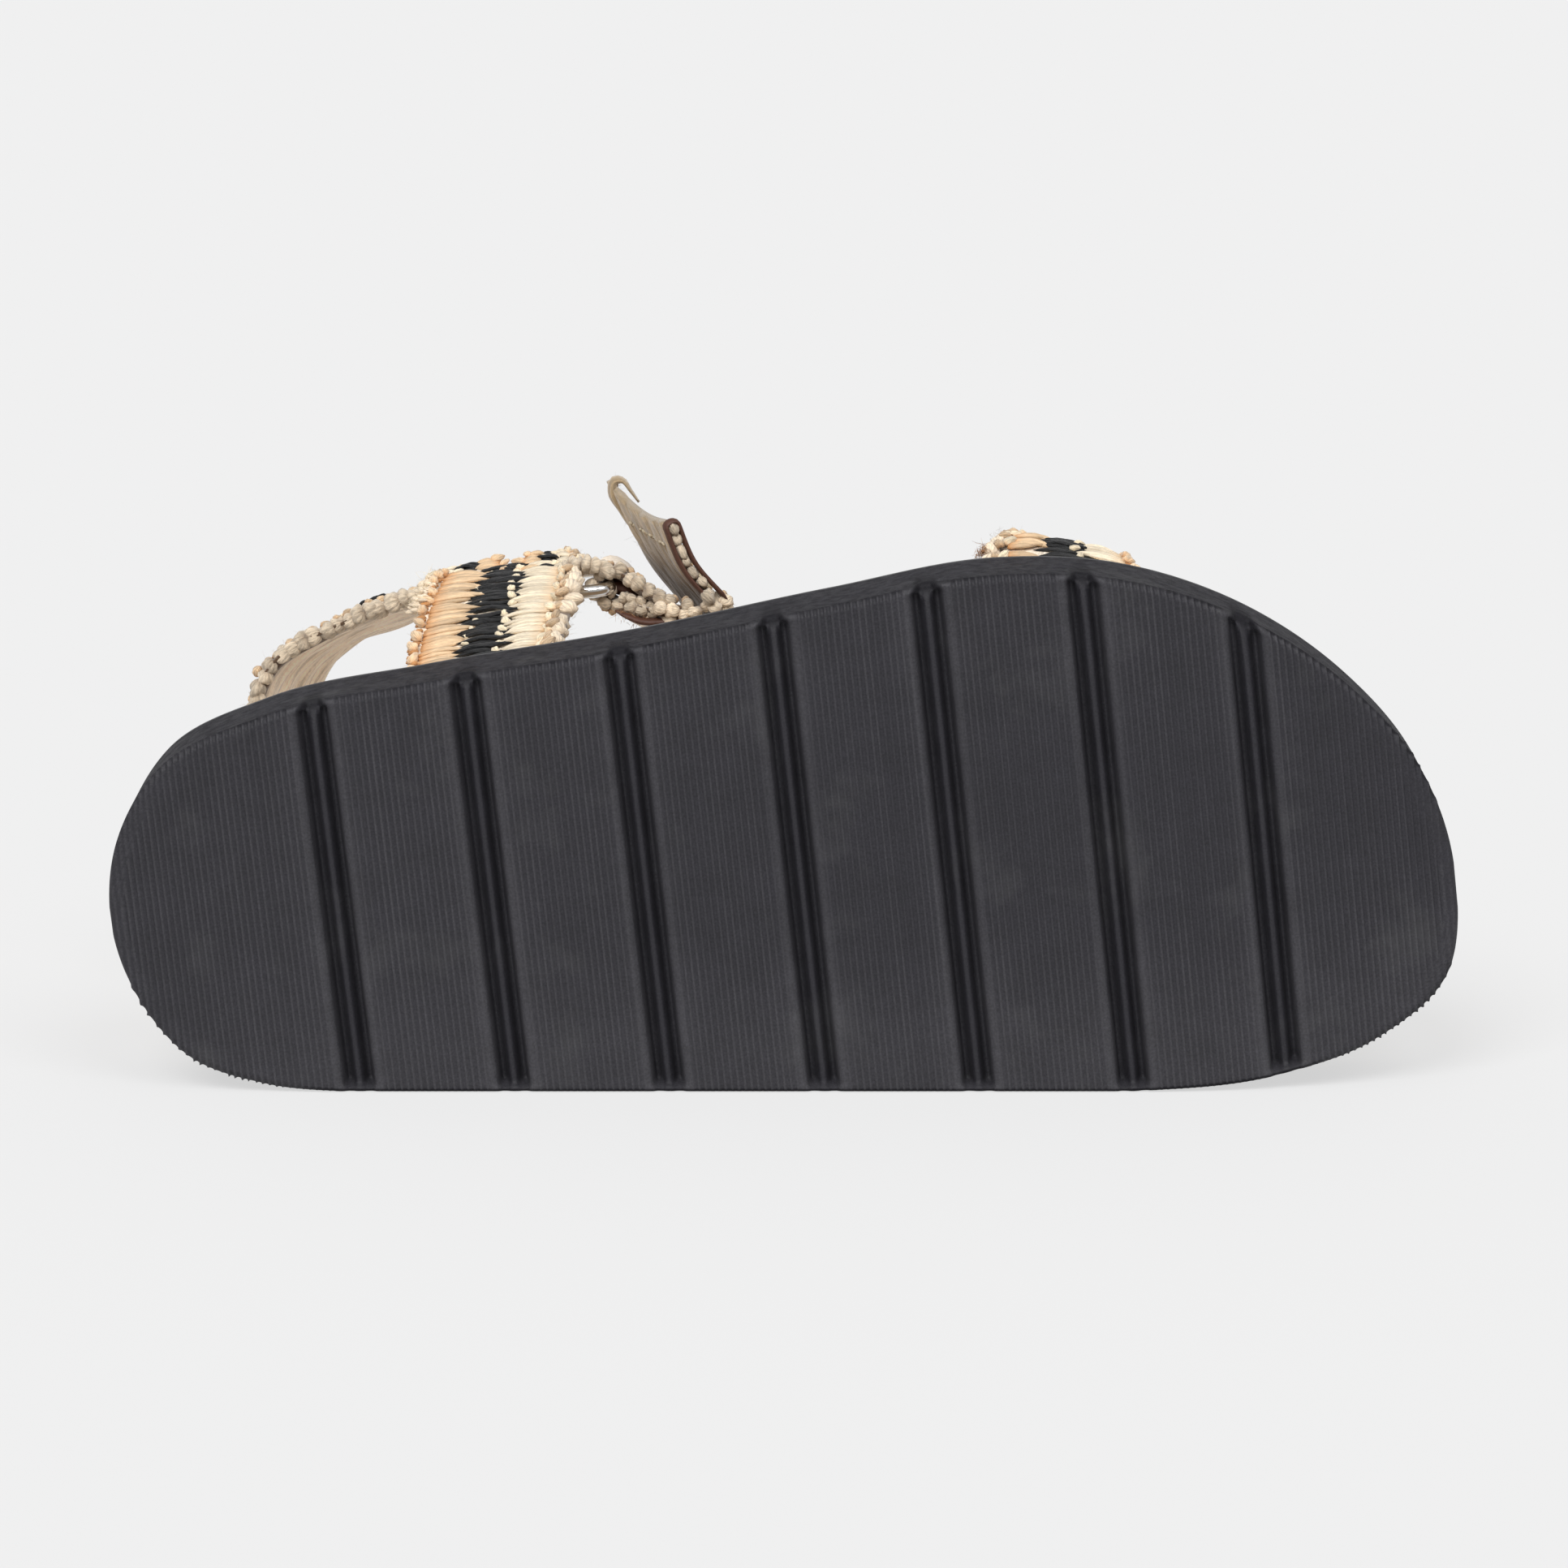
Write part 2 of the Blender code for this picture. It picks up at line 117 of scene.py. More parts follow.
# Half of one trough: how far the tread rises at a distance from the trough's middle, with its low ridge
TROUGH = (
    Trough(0.00, 1.7),
    Trough(0.65, 1.9),
    Trough(1.40, 4.6),
    Trough(2.30, 5.0),
    Trough(2.70, 4.0),
    Trough(3.00, 1.0),
    Trough(3.90, 0.3),
    Trough(5.80, 0.0),
)
TROUGH_BLUR = 0.25
LIP_SHARE, LIP_RUN = 0.09, (0.5, 2.0)
OUTER_ARCH, RUN_OUT = 4.2, (0.55, 1.0)

# Levels of the sole's side: insets of the tread's rim, shares of the wall's height and steps of the two
# rounded edges. Then the points of the tread and of the upper face, as shares between the two sides
TREAD_RIM_INSETS = (3.2, 2.6, 2.1, 1.7)
WALL_SHARES = (0.02, 0.06, 0.2, 0.5, 0.8, 0.93, 0.97)
EDGE_STEPS, RIM_STEPS = 6, 6
TREAD_SHARES, UPPER_SHARES = (0.08, 0.35, 0.65, 0.92), (0.1, 0.9)
EDGE_COUNT = len(TREAD_RIM_INSETS) + EDGE_STEPS
LEVEL_COUNT = EDGE_COUNT + len(WALL_SHARES) + RIM_STEPS

# Smooth steps on the sole, from and to: away from a trough's middle, along x and across y, in millimetres.
# The rib's flank is in shares of half its pitch
RIDGE_FLANK, ARCH_SLOPE, TROUGH_WALL = (0.5, 1.3), (0.9, 3.3), (2.4, 3.0)
RIB_FREE, SHOULDER, RIB_FLANK = (4.0, 5.4), (4.0, 10.0), (0.35, 0.85)
TIP_FADE, PARTING_START = (1.0, 3.0), (14, 34)
LYING_HEEL, LYING_TOE, LYING_SIDE = (26, 40), (226, 238), (6, 14)
RAGGED_HEEL, RAGGED_TOE, RAGGED_TOE_SIDE = (24, 34), (232, 240), (-16, -6)
ARCH_SIDE, FLOOR_SIDE, FOREFOOT, FOREFOOT_SIDES = (-12, -6), (10, 34), (50, 190), (14, 40)

# How deep the ribs bite at each step of the tread's edge, and how proud their teeth stand at its last steps.
# A tooth is at most TOOTH_MOST times TOOTH_HEIGHT, and the edge on the floor has lost that share of its ribs
EDGE_BITE, EDGE_TEETH = (1.0, 1.3, 1.7, 1.7, 1.2, 0.0), (0.5, 1.0, 1.0)
TOOTH_HEIGHT, TOOTH_MOST, LYING_WEAR = 0.4, 1.2, 0.85

# Strength of the wear and of the troughs' tone, and of the dark parting line, the painted contact shadow
# along the edge on the floor, the painted shade on the troughs' ridges and under their arches, and the
# painted rim highlight
RIB_WEAR, PLAIN_WEAR, SHOULDER_WEAR, FLOOR_WEAR, FOREFOOT_WEAR, TROUGH_TONE = 0.8, 0.6, 0.2, 0.3, 0.4, 0.3
PARTING_SHADE, LYING_SHADE, RIDGE_SHADE, ARCH_SHADE = 0.8, 0.8, 0.12, 0.6
# Painted highlight along the top of the wall and round the upper rim
PAINTED_RIM_HIGHLIGHT = (0.8, 1.0, 1.0, 0.6)

# Toe strap from the outer rim to the inner rim: jute edge at the rear, looped edge at the front
TOE_STRAP = (
    Edges(175.0, -48.2, 24.9, 206.5, -43.2, 24.9),
    Edges(177.8, -51.2, 36.0, 205.6, -44.4, 34.0),
    Edges(181.0, -49.2, 52.0, 204.6, -41.2, 48.0),
    Edges(184.5, -36.5, 67.0, 206.0, -30.5, 60.0),
    Edges(188.5, -8.0, 74.0, 211.5, -5.0, 66.0),
    Edges(192.0, 20.0, 73.0, 216.5, 21.0, 65.0),
    Edges(194.0, 41.0, 61.0, 219.5, 40.0, 55.0),
    Edges(194.5, 50.8, 42.0, 220.0, 49.6, 39.0),
    Edges(194.0, 50.6, 24.6, 219.5, 49.8, 25.0),
)

# Outer quarter from the rim upwards: jute edge at the front, looped edge at the rear
OUTER_QUARTER = (
    Edges(91.6, -41.0, 25.0, 60.8, -39.2, 25.0),
    Edges(93.4, -44.0, 48.0, 61.3, -43.2, 48.0),
    Edges(94.8, -46.8, 68.0, 62.8, -47.2, 68.0),
    Edges(94.9, -47.6, 82.0, 64.2, -48.4, 82.0),
    Edges(94.6, -47.5, 102.0, 66.0, -48.4, 91.0),
)

# Inner quarter from the rim upwards: jute edge at the front, looped edge at the rear
INNER_QUARTER = (
    Edges(91.6, 39.1, 24.8, 60.8, 35.6, 24.8),
    Edges(93.4, 40.4, 48.0, 61.8, 36.8, 48.0),
    Edges(94.8, 40.7, 68.0, 64.2, 37.3, 68.0),
    Edges(94.9, 40.7, 82.0, 66.2, 37.6, 82.0),
    Edges(94.6, 40.6, 101.0, 68.0, 37.6, 91.0),
)

# Ankle strap: outer quarter, round the heel, inner quarter, over the instep to its free end.
# Jute edge low, looped edge high
ANKLE_STRAP = (
    Edges(86.0, -46.2, 73.0, 86.0, -46.2, 89.0),
    Edges(75.0, -46.4, 72.0, 73.0, -45.4, 101.0),
    Edges(60.0, -47.8, 71.5, 58.5, -39.3, 99.5),
    Edges(46.0, -44.3, 72.0, 46.0, -36.2, 98.0),
    Edges(29.7, -37.2, 72.0, 37.2, -27.4, 98.0),
    Edges(22.8, -22.0, 72.0, 33.0, -14.5, 98.0),
    Edges(19.0, -2.0, 72.0, 31.5, -1.0, 98.0),
    Edges(22.5, 18.0, 72.0, 33.0, 12.5, 98.0),
    Edges(30.5, 29.6, 72.0, 37.4, 23.5, 98.0),
    Edges(46.0, 34.0, 72.0, 46.5, 30.5, 98.0),
    Edges(60.0, 35.6, 71.5, 58.5, 33.6, 99.5),
    Edges(79.0, 37.4, 72.5, 77.0, 36.8, 100.0),
    Edges(100.0, 38.4, 75.0, 97.0, 37.8, 103.0),
    Edges(117.0, 33.5, 78.0, 109.0, 31.5, 106.0),
    Edges(129.0, 18.5, 80.0, 118.0, 16.5, 108.5),
    Edges(133.5, -1.0, 80.0, 122.0, -3.0, 109.0),
    Edges(131.3, -20.0, 78.5, 120.0, -21.0, 107.0),
    Edges(124.2, -36.5, 76.5, 113.2, -37.0, 104.5),
    Edges(117.0, -47.5, 76.0, 106.2, -50.5, 104.0),
    Edges(114.2, -57.0, 76.0, 101.4, -62.8, 104.0),
)

# Ring strap: from under the instep strap, through the ring and back over itself. Low edge, high edge
RING_STRAP = (
    Edges(129.0, -6.0, 79.0, 117.6, -7.5, 106.0),
    Edges(126.2, -20.5, 78.0, 114.8, -21.0, 105.0),
    Edges(120.0, -32.2, 77.2, 108.8, -28.4, 103.2),
    Edges(113.5, -35.8, 77.4, 104.6, -31.4, 102.6),
    Edges(106.5, -39.0, 78.5, 101.2, -34.2, 102.2),
    Edges(100.4, -40.5, 80.0, 98.8, -38.4, 102.0),
    Edges(97.9, -41.6, 80.0, 97.4, -41.2, 102.0),
    Edges(97.0, -43.9, 80.0, 97.0, -43.9, 102.0),
    Edges(97.9, -46.2, 80.0, 97.9, -46.2, 102.0),
    Edges(100.2, -47.4, 80.0, 100.2, -47.0, 102.0),
    Edges(103.8, -46.1, 79.5, 103.8, -44.8, 102.0),
    Edges(107.8, -42.6, 78.5, 105.4, -39.6, 102.2),
    Edges(112.4, -39.8, 77.5, 106.6, -36.2, 102.4),
    Edges(117.2, -38.0, 77.0, 108.4, -34.0, 102.6),
)

# Where the outer quarter parts at its top: towards the heel strap and towards the ring
HEEL_FOLD = (
    Edges(60.7, -45.6, 84.0, 79.8, -47.6, 84.0),
    Edges(61.4, -46.4, 95.0, 79.0, -48.5, 95.0),
    Edges(63.8, -46.3, 101.0, 77.2, -48.4, 101.0),
    Edges(64.6, -45.2, 105.0, 76.3, -47.0, 105.0),
)
FRONT_FOLD = (
    Edges(94.7, -47.8, 82.0, 81.1, -47.6, 82.0),
    Edges(94.6, -48.3, 93.0, 81.5, -48.4, 93.0),
    Edges(92.6, -48.2, 100.0, 83.1, -48.6, 100.0),
    Edges(91.7, -47.0, 104.0, 83.6, -47.2, 104.0),
)

# Where straps come up beside the footbed
STRAP_FEET = (TOE_STRAP[0], TOE_STRAP[-1], OUTER_QUARTER[0], INNER_QUARTER[0])

# The bands of the upper: the solid each stands for, how far it bulges, which way its good side faces, the
# border of the black with cream dots, which has the paler raffia, the millimetres at its start and end
# without weave and those without knots, and the pitch and size of the knots on its jute edge
Band = namedtuple(
    "Band",
    "name node rows bulge good_side dots_side bare_start bare_end knotless_start knotless_end pitch size",
)
BANDS = (
    Band("toe_strap", "toe_strap", TOE_STRAP, 1.3, -1, "loop", 0.0, 0.0, 0.0, 0.0, 4.8, 3.3),
    Band("outer_quarter", "rear_upper", OUTER_QUARTER, 0.0, 1, "jute", 0.0, 5.0, 0.0, 2.0, 6.4, 3.2),
    Band("inner_quarter", "rear_upper", INNER_QUARTER, 0.0, -1, "jute", 0.0, 22.0, 0.0, 22.0, 6.4, 3.2),
    Band("ankle_strap", "rear_upper", ANKLE_STRAP, 0.0, -1, "jute", 26.0, 4.0, 26.0, 21.0, 2.3, 3.6),
    Band("ring_strap", "ring_strap", RING_STRAP, 0.0, 1, "jute", 0.0, 0.0, 0.0, 0.0, 2.3, 3.0),
    Band("heel_fold", "rear_upper", HEEL_FOLD, 0.0, -1, "jute", 0.0, 0.0, 0.0, 0.0, 3.2, 2.4),
    Band("front_fold", "rear_upper", FRONT_FOLD, 0.0, 1, "jute", 0.0, 0.0, 0.0, 0.0, 3.2, 2.6),
)

# Lining walls under the weave: the step along them, their heights over and under the middle, the run of their
# rounded edges, and the wrinkles on their foot's side, how many across and how far apart along
WALL_STEP, WALL_OUTER, WALL_INNER, WALL_EDGE, WALL_EDGE_RUN = 1.3, 0.35, 1.2, 0.5, 2.2
WALL_RIM_SHARES, WALL_FAR_RIM_SHARES = (0.012, 0.02, 0.04), (0.96, 0.98, 0.988)
WALL_FACE_SHARES = np.linspace(0.07, 0.93, 24)
Wrinkle = namedtuple("Wrinkle", "across along shift depth")
WRINKLES = (Wrinkle(5.5, 31.0, 0.0, 0.34), Wrinkle(9.0, -23.0, 0.3, 0.204))

# Painted shade of the lining: beside the jute edge, and at distances from the free end where its own tone
# starts and where the painted shade at its root ends
CREASE_SHADE_RUN, TAIL_TONE_RUN, TAIL_SHADE_RUN, TAIL_SHADE = (2.6, 4.6), (42, 30), (22, 5), 0.8

# The free end: its bound length, its beads and seam, and how far its edge dips between its corners
TAIL_LENGTH, TAIL_BEAD_PITCH, TAIL_SEAM = 21.0, 3.0, 7.0
TAIL_DIP, TAIL_DIP_RUN = 2.8, 16.0
BINDING_HEIGHT, BINDING_TURN, BINDING_INSET = 1.4, 0.12, 1.2
BINDING_WIDTH, BINDING_THICKNESS = 2.4, 1.0
Roll = namedtuple("Roll", "x y z width thickness")
TAIL_ROLL = (
    Roll(105.8, -51.5, 102.8, 4.6, 1.2),
    Roll(103.6, -56.4, 102.8, 5.0, 1.6),
    Roll(102.2, -60.2, 102.8, 4.8, 2.2),
    Roll(102.9, -62.5, 102.7, 4.2, 2.1),
    Roll(104.5, -62.4, 102.6, 3.6, 1.3),
    Roll(105.9, -60.2, 102.2, 2.6, 0.8),
    Roll(107.4, -57.6, 101.8, 1.4, 0.5),
)

# Knots that bridge the quarter and the ring strap above the ring
Spot = namedtuple("Spot", "x y z")
RING_BRIDGE = (
    Spot(91.8, -49.2, 83.0),
    Spot(94.5, -49.3, 81.0),
    Spot(96.6, -49.0, 80.0),
    Spot(98.5, -48.3, 79.6),
    Spot(100.9, -47.2, 79.4),
)

# Knots that carry the ring strap's edge on to the root of the free end
RING_FOOT = (
    Spot(110.4, -38.9, 77.6),
    Spot(113.6, -37.6, 77.8),
    Spot(117.0, -37.6, 77.6),
    Spot(120.6, -38.0, 77.4),
    Spot(124.0, -38.8, 77.4),
)

# Knots inside the ring strap's fold, and the leather edge under it
RING_FOLD = (
    Spot(98.7, -43.4, 80.5),
    Spot(101.1, -42.7, 80.5),
    Spot(103.5, -41.8, 80.5),
    Spot(105.9, -40.5, 80.5),
    Spot(108.3, -39.2, 80.5),
)
RING_HEM = (
    Spot(100.9, -39.3, 79.0),
    Spot(103.1, -37.9, 79.0),
    Spot(106.0, -36.5, 79.0),
    Spot(110.3, -36.0, 79.0),
    Spot(115.3, -36.2, 79.0),
)

# Frayed knots and fibres where the heel strap leaves the quarter
HEEL_JOIN = (
    Spot(64.6, -48.8, 84.0),
    Spot(63.8, -48.8, 79.0),
    Spot(63.0, -48.7, 73.0),
    Spot(62.2, -47.9, 67.0),
    Spot(61.6, -46.9, 61.0),
)

# Frayed fibres at the rear of the toe strap's outer foot
TOE_TUFT = (
    Spot(175.4, -50.4, 31.0),
    Spot(176.0, -50.7, 32.0),
    Spot(176.6, -51.1, 31.0),
    Spot(177.2, -51.6, 33.0),
)

# Leather between the two layers of the ring strap
RING_CORE = (
    Roll(99.4, -44.0, 91.0, 19.0, 3.0),
    Roll(102.0, -43.2, 91.0, 19.0, 4.6),
    Roll(105.5, -41.0, 91.0, 19.0, 2.6),
    Roll(109.0, -38.0, 91.0, 19.0, 1.2),
    Roll(112.5, -36.2, 91.0, 19.0, 0.8),
)

# Dark strands that show over the heel strap's edge
HEEL_DARK = (
    Spot(50.0, -46.5, 76.5),
    Spot(51.4, -47.1, 76.5),
    Spot(52.6, -47.5, 76.5),
    Spot(53.8, -47.8, 76.5),
)

# A group of knots on a curve through spots, with the direction across it
Knots = namedtuple("Knots", "name spots count across size slant finish scatter")
UPRIGHT, TOEWARDS = np.array([0.0, 0.0, 1.0]), np.array([1.0, 0.0, 0.0])

# Points along and round one strand, knot or fibre, and the plies of a knot
STRAND_STEPS, STRAND_SIDES = 9, 6
KNOT_STEPS, KNOT_SIDES, KNOT_PLIES = 7, 12, 4
FIBRE_STEPS, FIBRE_SIDES = 5, 4

# Length, width and thickness of knots
ROOT_KNOT, CREAM_KNOT, CREAM_FLECK = (5.0, 2.3, 2.2), (3.3, 2.0, 1.7), (2.0, 1.5, 1.0)
TAIL_BEAD, TAIL_ROOT_KNOT, TAIL_STITCH = (2.7, 1.9, 1.9), (3.0, 2.4, 2.4), (1.9, 0.6, 0.5)

# How much paler the yarn and the painted crease shade of pale knots are than those of the jute
PALE_YARN, PALE_CREASE_SHADE = 1.47, 1.3

# Fibres along the edges of bands, and groups of fuzz on a curve through spots. Then the fibres on each
# millimetre, the longest of them, how much thicker fuzz is, and the shape of the spread of lengths
Fringe = namedtuple("Fringe", "name course first last near_share")
Fuzz = namedtuple("Fuzz", "name spots count spread length finish")
FIBRES_PER_MM, FIBRE_MOST, FUZZ_SWELL = 7, 1.3, 1.8
LENGTH_SPREAD = 2.5

# Layout across a band, in shares of its width from the jute edge
JUTE_EDGE, JUTE_SECOND = 0.05, 0.13
JUTE_LOBE_ROOT, JUTE_LOBE_TIP = 0.14, 0.41
BLACK_START, BLACK_END = 0.33, 0.71
LOOP_LOBE_ROOT, LOOP_LOBE_TIP = 0.92, 0.62
LOOP_EDGE = 0.965
DOTS_PITCH_SHARE, DOTS_INSET, FLECKS_INSET = 0.74, 0.01, 0.09

# Stage: half the floor's side, the spread of the lights, the camera's sensor in millimetres, and where each
# light stands with its share of the strength
FLOOR_HALF, SUN_SPREAD, SENSOR_WIDTH = 8.0, math.radians(30), 36.0
Light = namedtuple("Light", "name x y z share")
LIGHTS = (Light("key", -0.35, -0.8, 0.9, 1.0), Light("fill", 0.45, -0.7, 0.9, 0.5))


def screen_colour(red, green, blue):
    """A colour as a screen shows it, 0 to 255, turned into linear light with an alpha of one."""
    share = np.array([red, green, blue]) / 255
    linear = np.where(share <= 0.04045, share / 12.92, ((share + 0.055) / 1.055) ** 2.4)
    return (*linear.tolist(), 1.0)


def length_property(name, description, millimetres):
    """A length that is given in millimetres and kept in metres."""
    return FloatProperty(
        name=name, description=description, default=millimetres * MM, min=0.0, unit="LENGTH", precision=5
    )


def colour_property(name, description, colour):
    """A colour in linear light with its alpha."""
    return FloatVectorProperty(
        name=name, description=description, default=colour, size=4, min=0.0, max=1.0, subtype="COLOR"
    )


class SandalSizes(bpy.types.PropertyGroup):
    """Sizes of the surface detail."""

    rib_pitch: length_property("Rib pitch", "Distance between the fine ribs across the tread", 1.28)
    rib_depth: length_property("Rib depth", "Depth of the valleys between the fine ribs", 0.28)
    lobe_pitch: length_property("Lobe pitch", "Distance between raffia bundles along a band", 6.4)
    strand_width: length_property("Strand width", "Width of one raffia strand", 1.8)
    strand_thickness: length_property("Strand thickness", "Thickness of one raffia strand", 0.95)
    fibre_length: length_property("Fibre length", "Usual length of a stray fibre", 0.95)
    fibre_radius: length_property("Fibre radius", "Radius of a stray fibre", 0.025)
    lobe_strands: IntProperty(
        name="Lobe strands", description="Strands in one natural bundle", default=5, min=1
    )
    black_strands: IntProperty(
        name="Black strands", description="Strands in one black bundle", default=7, min=1
    )


class SandalColours(bpy.types.PropertyGroup):
    """Colours of the finishes."""

    rubber: colour_property("Rubber", "Rubber between the ribs", screen_colour(40, 39, 44))
    rubber_worn: colour_property("Worn rubber", "Rubber on ridges and shoulders", screen_colour(57, 56, 60))
    # The dust colour, twice as bright, is also the painted highlight along the upper rim
    dust: colour_property("Dust", "Dusty patches of the rubber", screen_colour(82, 82, 82))
    natural: colour_property("Pale raffia", "Raffia strands on the jute side", screen_colour(246, 230, 203))
    warm: colour_property("Warm raffia", "Raffia strands on the looped side", screen_colour(232, 199, 159))
    root: colour_property("Raffia roots", "Orange-brown roots of the strands", screen_colour(212, 150, 92))
    black: colour_property("Black raffia", "Dyed raffia strands", screen_colour(18, 18, 20))
    jute: colour_property("Jute", "Knots of the jute edge", screen_colour(215, 197, 172))
    cream: colour_property("Cream yarn", "Cream knots and dots", screen_colour(248, 230, 196))
    # Painted shade in the creases at the ends of the jute knots and on the lining
    crease_shade: colour_property("Jute creases", "Shaded creases of the jute", screen_colour(128, 97, 68))
    lining: colour_property("Lining", "Suede lining of the bands", screen_colour(252, 234, 210))
    lining_tail: colour_property("Tail lining", "Lining at the free end", screen_colour(168, 146, 114))
    leather: colour_property("Leather", "Leather binding of the free end", screen_colour(88, 55, 42))
    nickel: colour_property("Nickel", "Metal of the ring", (0.75, 0.74, 0.72, 1.0))
    footbed: colour_property("Footbed", "Tan footbed", screen_colour(186, 160, 130))


class SandalStage(bpy.types.PropertyGroup):
    """Camera, floor and light."""

    tilt: FloatProperty(
        name="Tilt", description="How far the camera looks down", default=math.radians(11.5), subtype="ANGLE"
    )
    distance: FloatProperty(name="Distance", description="Camera to aim", default=1.15, unit="LENGTH")
    aim: FloatVectorProperty(
        name="Aim",
        description="Point at the middle of the picture",
        default=(-0.00024, -0.05471, 0.06145),
        unit="LENGTH",
    )
    lens: FloatProperty(name="Lens", description="Focal length in millimetres", default=136.93)
    floor: colour_property("Floor", "Pale floor", (0.22, 0.22, 0.221, 1.0))
    glow: FloatProperty(name="Glow", description="Light that the floor itself gives", default=0.61, min=0.0)
    sky: FloatProperty(name="Sky", description="Strength of the even light all round", default=0.486, min=0.0)
    sun: FloatProperty(name="Sun", description="Strength of the soft light from above", default=2.03, min=0.0)


def unit(vectors):
    """Vectors divided by their own lengths."""
    return vectors / np.linalg.norm(vectors, axis=-1, keepdims=True)


def smooth_step(value, start, stop):
    """Nothing before start, one after stop, and a smooth S between them."""
    share = np.clip((value - start) / (stop - start), 0, 1)
    return share * share * (3 - 2 * share)


def curve_through(knots, count, closed=False):
    """Evenly spaced points on a smooth curve through the knots.

    Each stretch is a cubic, and its slope at a knot is that of the parabola through the knot and its two
    neighbours, measured along the straight distance from knot to knot.
    """
    knots = np.asarray(knots, float)
    wrap = 3
    if closed:
        knots = np.vstack([knots[-wrap:], knots, knots[: wrap + 1]])
    place = np.concatenate([[0.0], np.cumsum(np.linalg.norm(np.diff(knots, axis=0), axis=1))])
    slope = np.gradient(knots, place, axis=0)
    first, last = (wrap, -1 - wrap) if closed else (0, -1)
    wanted = np.linspace(place[first], place[last], count, endpoint=not closed)
    index = np.clip(np.searchsorted(place, wanted, side="right") - 1, 0, len(place) - 2)
    span = (place[index + 1] - place[index])[:, None]
    t = (wanted - place[index])[:, None] / span
    start = knots[index] * (1 + 2 * t) * (1 - t) ** 2 + slope[index] * span * t * (1 - t) ** 2
    end = knots[index + 1] * t**2 * (3 - 2 * t) - slope[index + 1] * span * t**2 * (1 - t)
    return start + end


def floor_line(x):
    """How far out the floor lies on the inner side, at a place along the shoe."""
    return FLOOR_AT_HEEL + x * math.tan(SIDE_SLANT)


def outline(inset):
    """The sole's plan moved inwards: (x, y) of the outer side and of the inner side, each heel to toe."""
    samples = 2400
    loop = curve_through(np.array(OUTLINE) * (SOLE_LENGTH, BALL_WIDTH), samples, closed=True)
    loop[:, 1] = np.minimum(loop[:, 1], floor_line(loop[:, 0]))
    along = np.roll(loop, -1, axis=0) - np.roll(loop, 1, axis=0)
    loop = loop + inset * unit(np.column_stack([-along[:, 1], along[:, 0]]))
    heel, toe = np.argmin(loop[:, 0]), np.argmax(loop[:, 0])
    outer = np.roll(loop, -heel, axis=0)[: (toe - heel) % samples + 1]
    inner = np.roll(loop[::-1], heel + 1, axis=0)[: (heel - toe) % samples + 1]
    return outer, inner


def turned(points):
    """Shoe axes turned onto the inner side: the tread faces -Y, the toe +X and the outer side +Z."""
    x, y, z = np.moveaxis(np.asarray(points, float), -1, 0)
    cos, sin = math.cos(SIDE_SLANT), math.sin(SIDE_SLANT)
    return np.stack([x * cos + y * sin, z, x * sin - y * cos], axis=-1)


def frame_shift():
    """How far the turned shoe moves so that its sole lies in the sole's own box."""
    low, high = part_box("sole")
    plan = np.vstack(outline(0.0))
    reach = turned(np.column_stack([plan, np.zeros(len(plan))]))[:, 0]
    middle = (low.x + high.x) / 2 / MM - (reach.min() + reach.max()) / 2
    return np.array([middle, low.y / MM, FLOOR_AT_HEEL * math.cos(SIDE_SLANT)])


SHIFT = frame_shift()


def laid_down(points):
    """Shoe millimetres to the frame's metres, with nothing below the floor."""
    placed = turned(points) + SHIFT
    placed[..., 2] = np.maximum(placed[..., 2], FLOOR_CLEARANCE)
    return placed * MM


class Course:
    """A band between two edges that run smoothly through its rows, measured along its middle line."""

    SAMPLES = 900

    def __init__(self, band):
        self.edges = curve_through(band.rows, self.SAMPLES)
        self.slopes = np.gradient(self.edges, axis=0)
        middle = (self.edges[:, :3] + self.edges[:, 3:]) / 2
        steps = np.linalg.norm(np.diff(middle, axis=0), axis=1)
        self.place = np.concatenate([[0.0], np.cumsum(steps)])
        self.length = self.place[-1]
        self.width = float(np.linalg.norm(self.edges[:, 3:] - self.edges[:, :3], axis=1).mean())
        self.good_side, self.bulge = band.good_side, band.bulge
        self.start, self.stop = band.bare_start, self.length - band.bare_end
        self.first_knot, self.last_knot = band.knotless_start, self.length - band.knotless_end

    def at(self, along, share, height):
        """Points at a distance along, a share across and a height over the wall's middle, and the normals."""
        along, share, height = np.broadcast_arrays(along, share, height)
        index = np.interp(along, self.place, np.arange(self.SAMPLES))
        low = np.clip(index.astype(int), 0, self.SAMPLES - 2)
        part = (index - low)[..., None]
        edges = self.edges[low] * (1 - part) + self.edges[low + 1] * part
        slopes = self.slopes[low] * (1 - part) + self.slopes[low + 1] * part
        near, reach = edges[..., :3], edges[..., 3:] - edges[..., :3]
        share = share[..., None]
        run = slopes[..., :3] * (1 - share) + slopes[..., 3:] * share
        normal = self.good_side * unit(np.cross(run, reach))
        rise = height[..., None] + self.bulge * np.clip(4 * share * (1 - share), 0, None)
        return near + reach * share + normal * rise, normal


COURSES = {band.name: Course(band) for band in BANDS}
WOVEN = [band for band in BANDS if band.name != "ring_strap"]


def grid_quads(rows, columns, loop):
    """Corner numbers of the quads on rings of points, and the grid place of each corner before it wraps."""
    i, j = np.meshgrid(np.arange(rows if loop else rows - 1), np.arange(columns), indexing="ij")
    i, j = i.ravel(), j.ravel()
    corner_i = np.stack([i, i, i + 1, i + 1], axis=1)
    corner_j = np.stack([j, j + 1, j + 1, j], axis=1)
    return corner_i % rows * columns + corner_j % columns, np.stack([corner_i, corner_j], axis=-1)


def cap_quads(rows, columns):
    """A strip of quads across the first ring and the last ring of a tube with an even number of sides."""
    k = np.arange(columns // 2 - 1)
    first = np.stack([k, columns - 1 - k, columns - 2 - k, k + 1], axis=1)
    last = first[:, ::-1] + (rows - 1) * columns
    place = np.stack([np.zeros_like(first), first], axis=-1)
    end = np.stack([np.full_like(first, rows - 1), first[:, ::-1]], axis=-1)
    return np.vstack([first, last]), np.vstack([place, end])


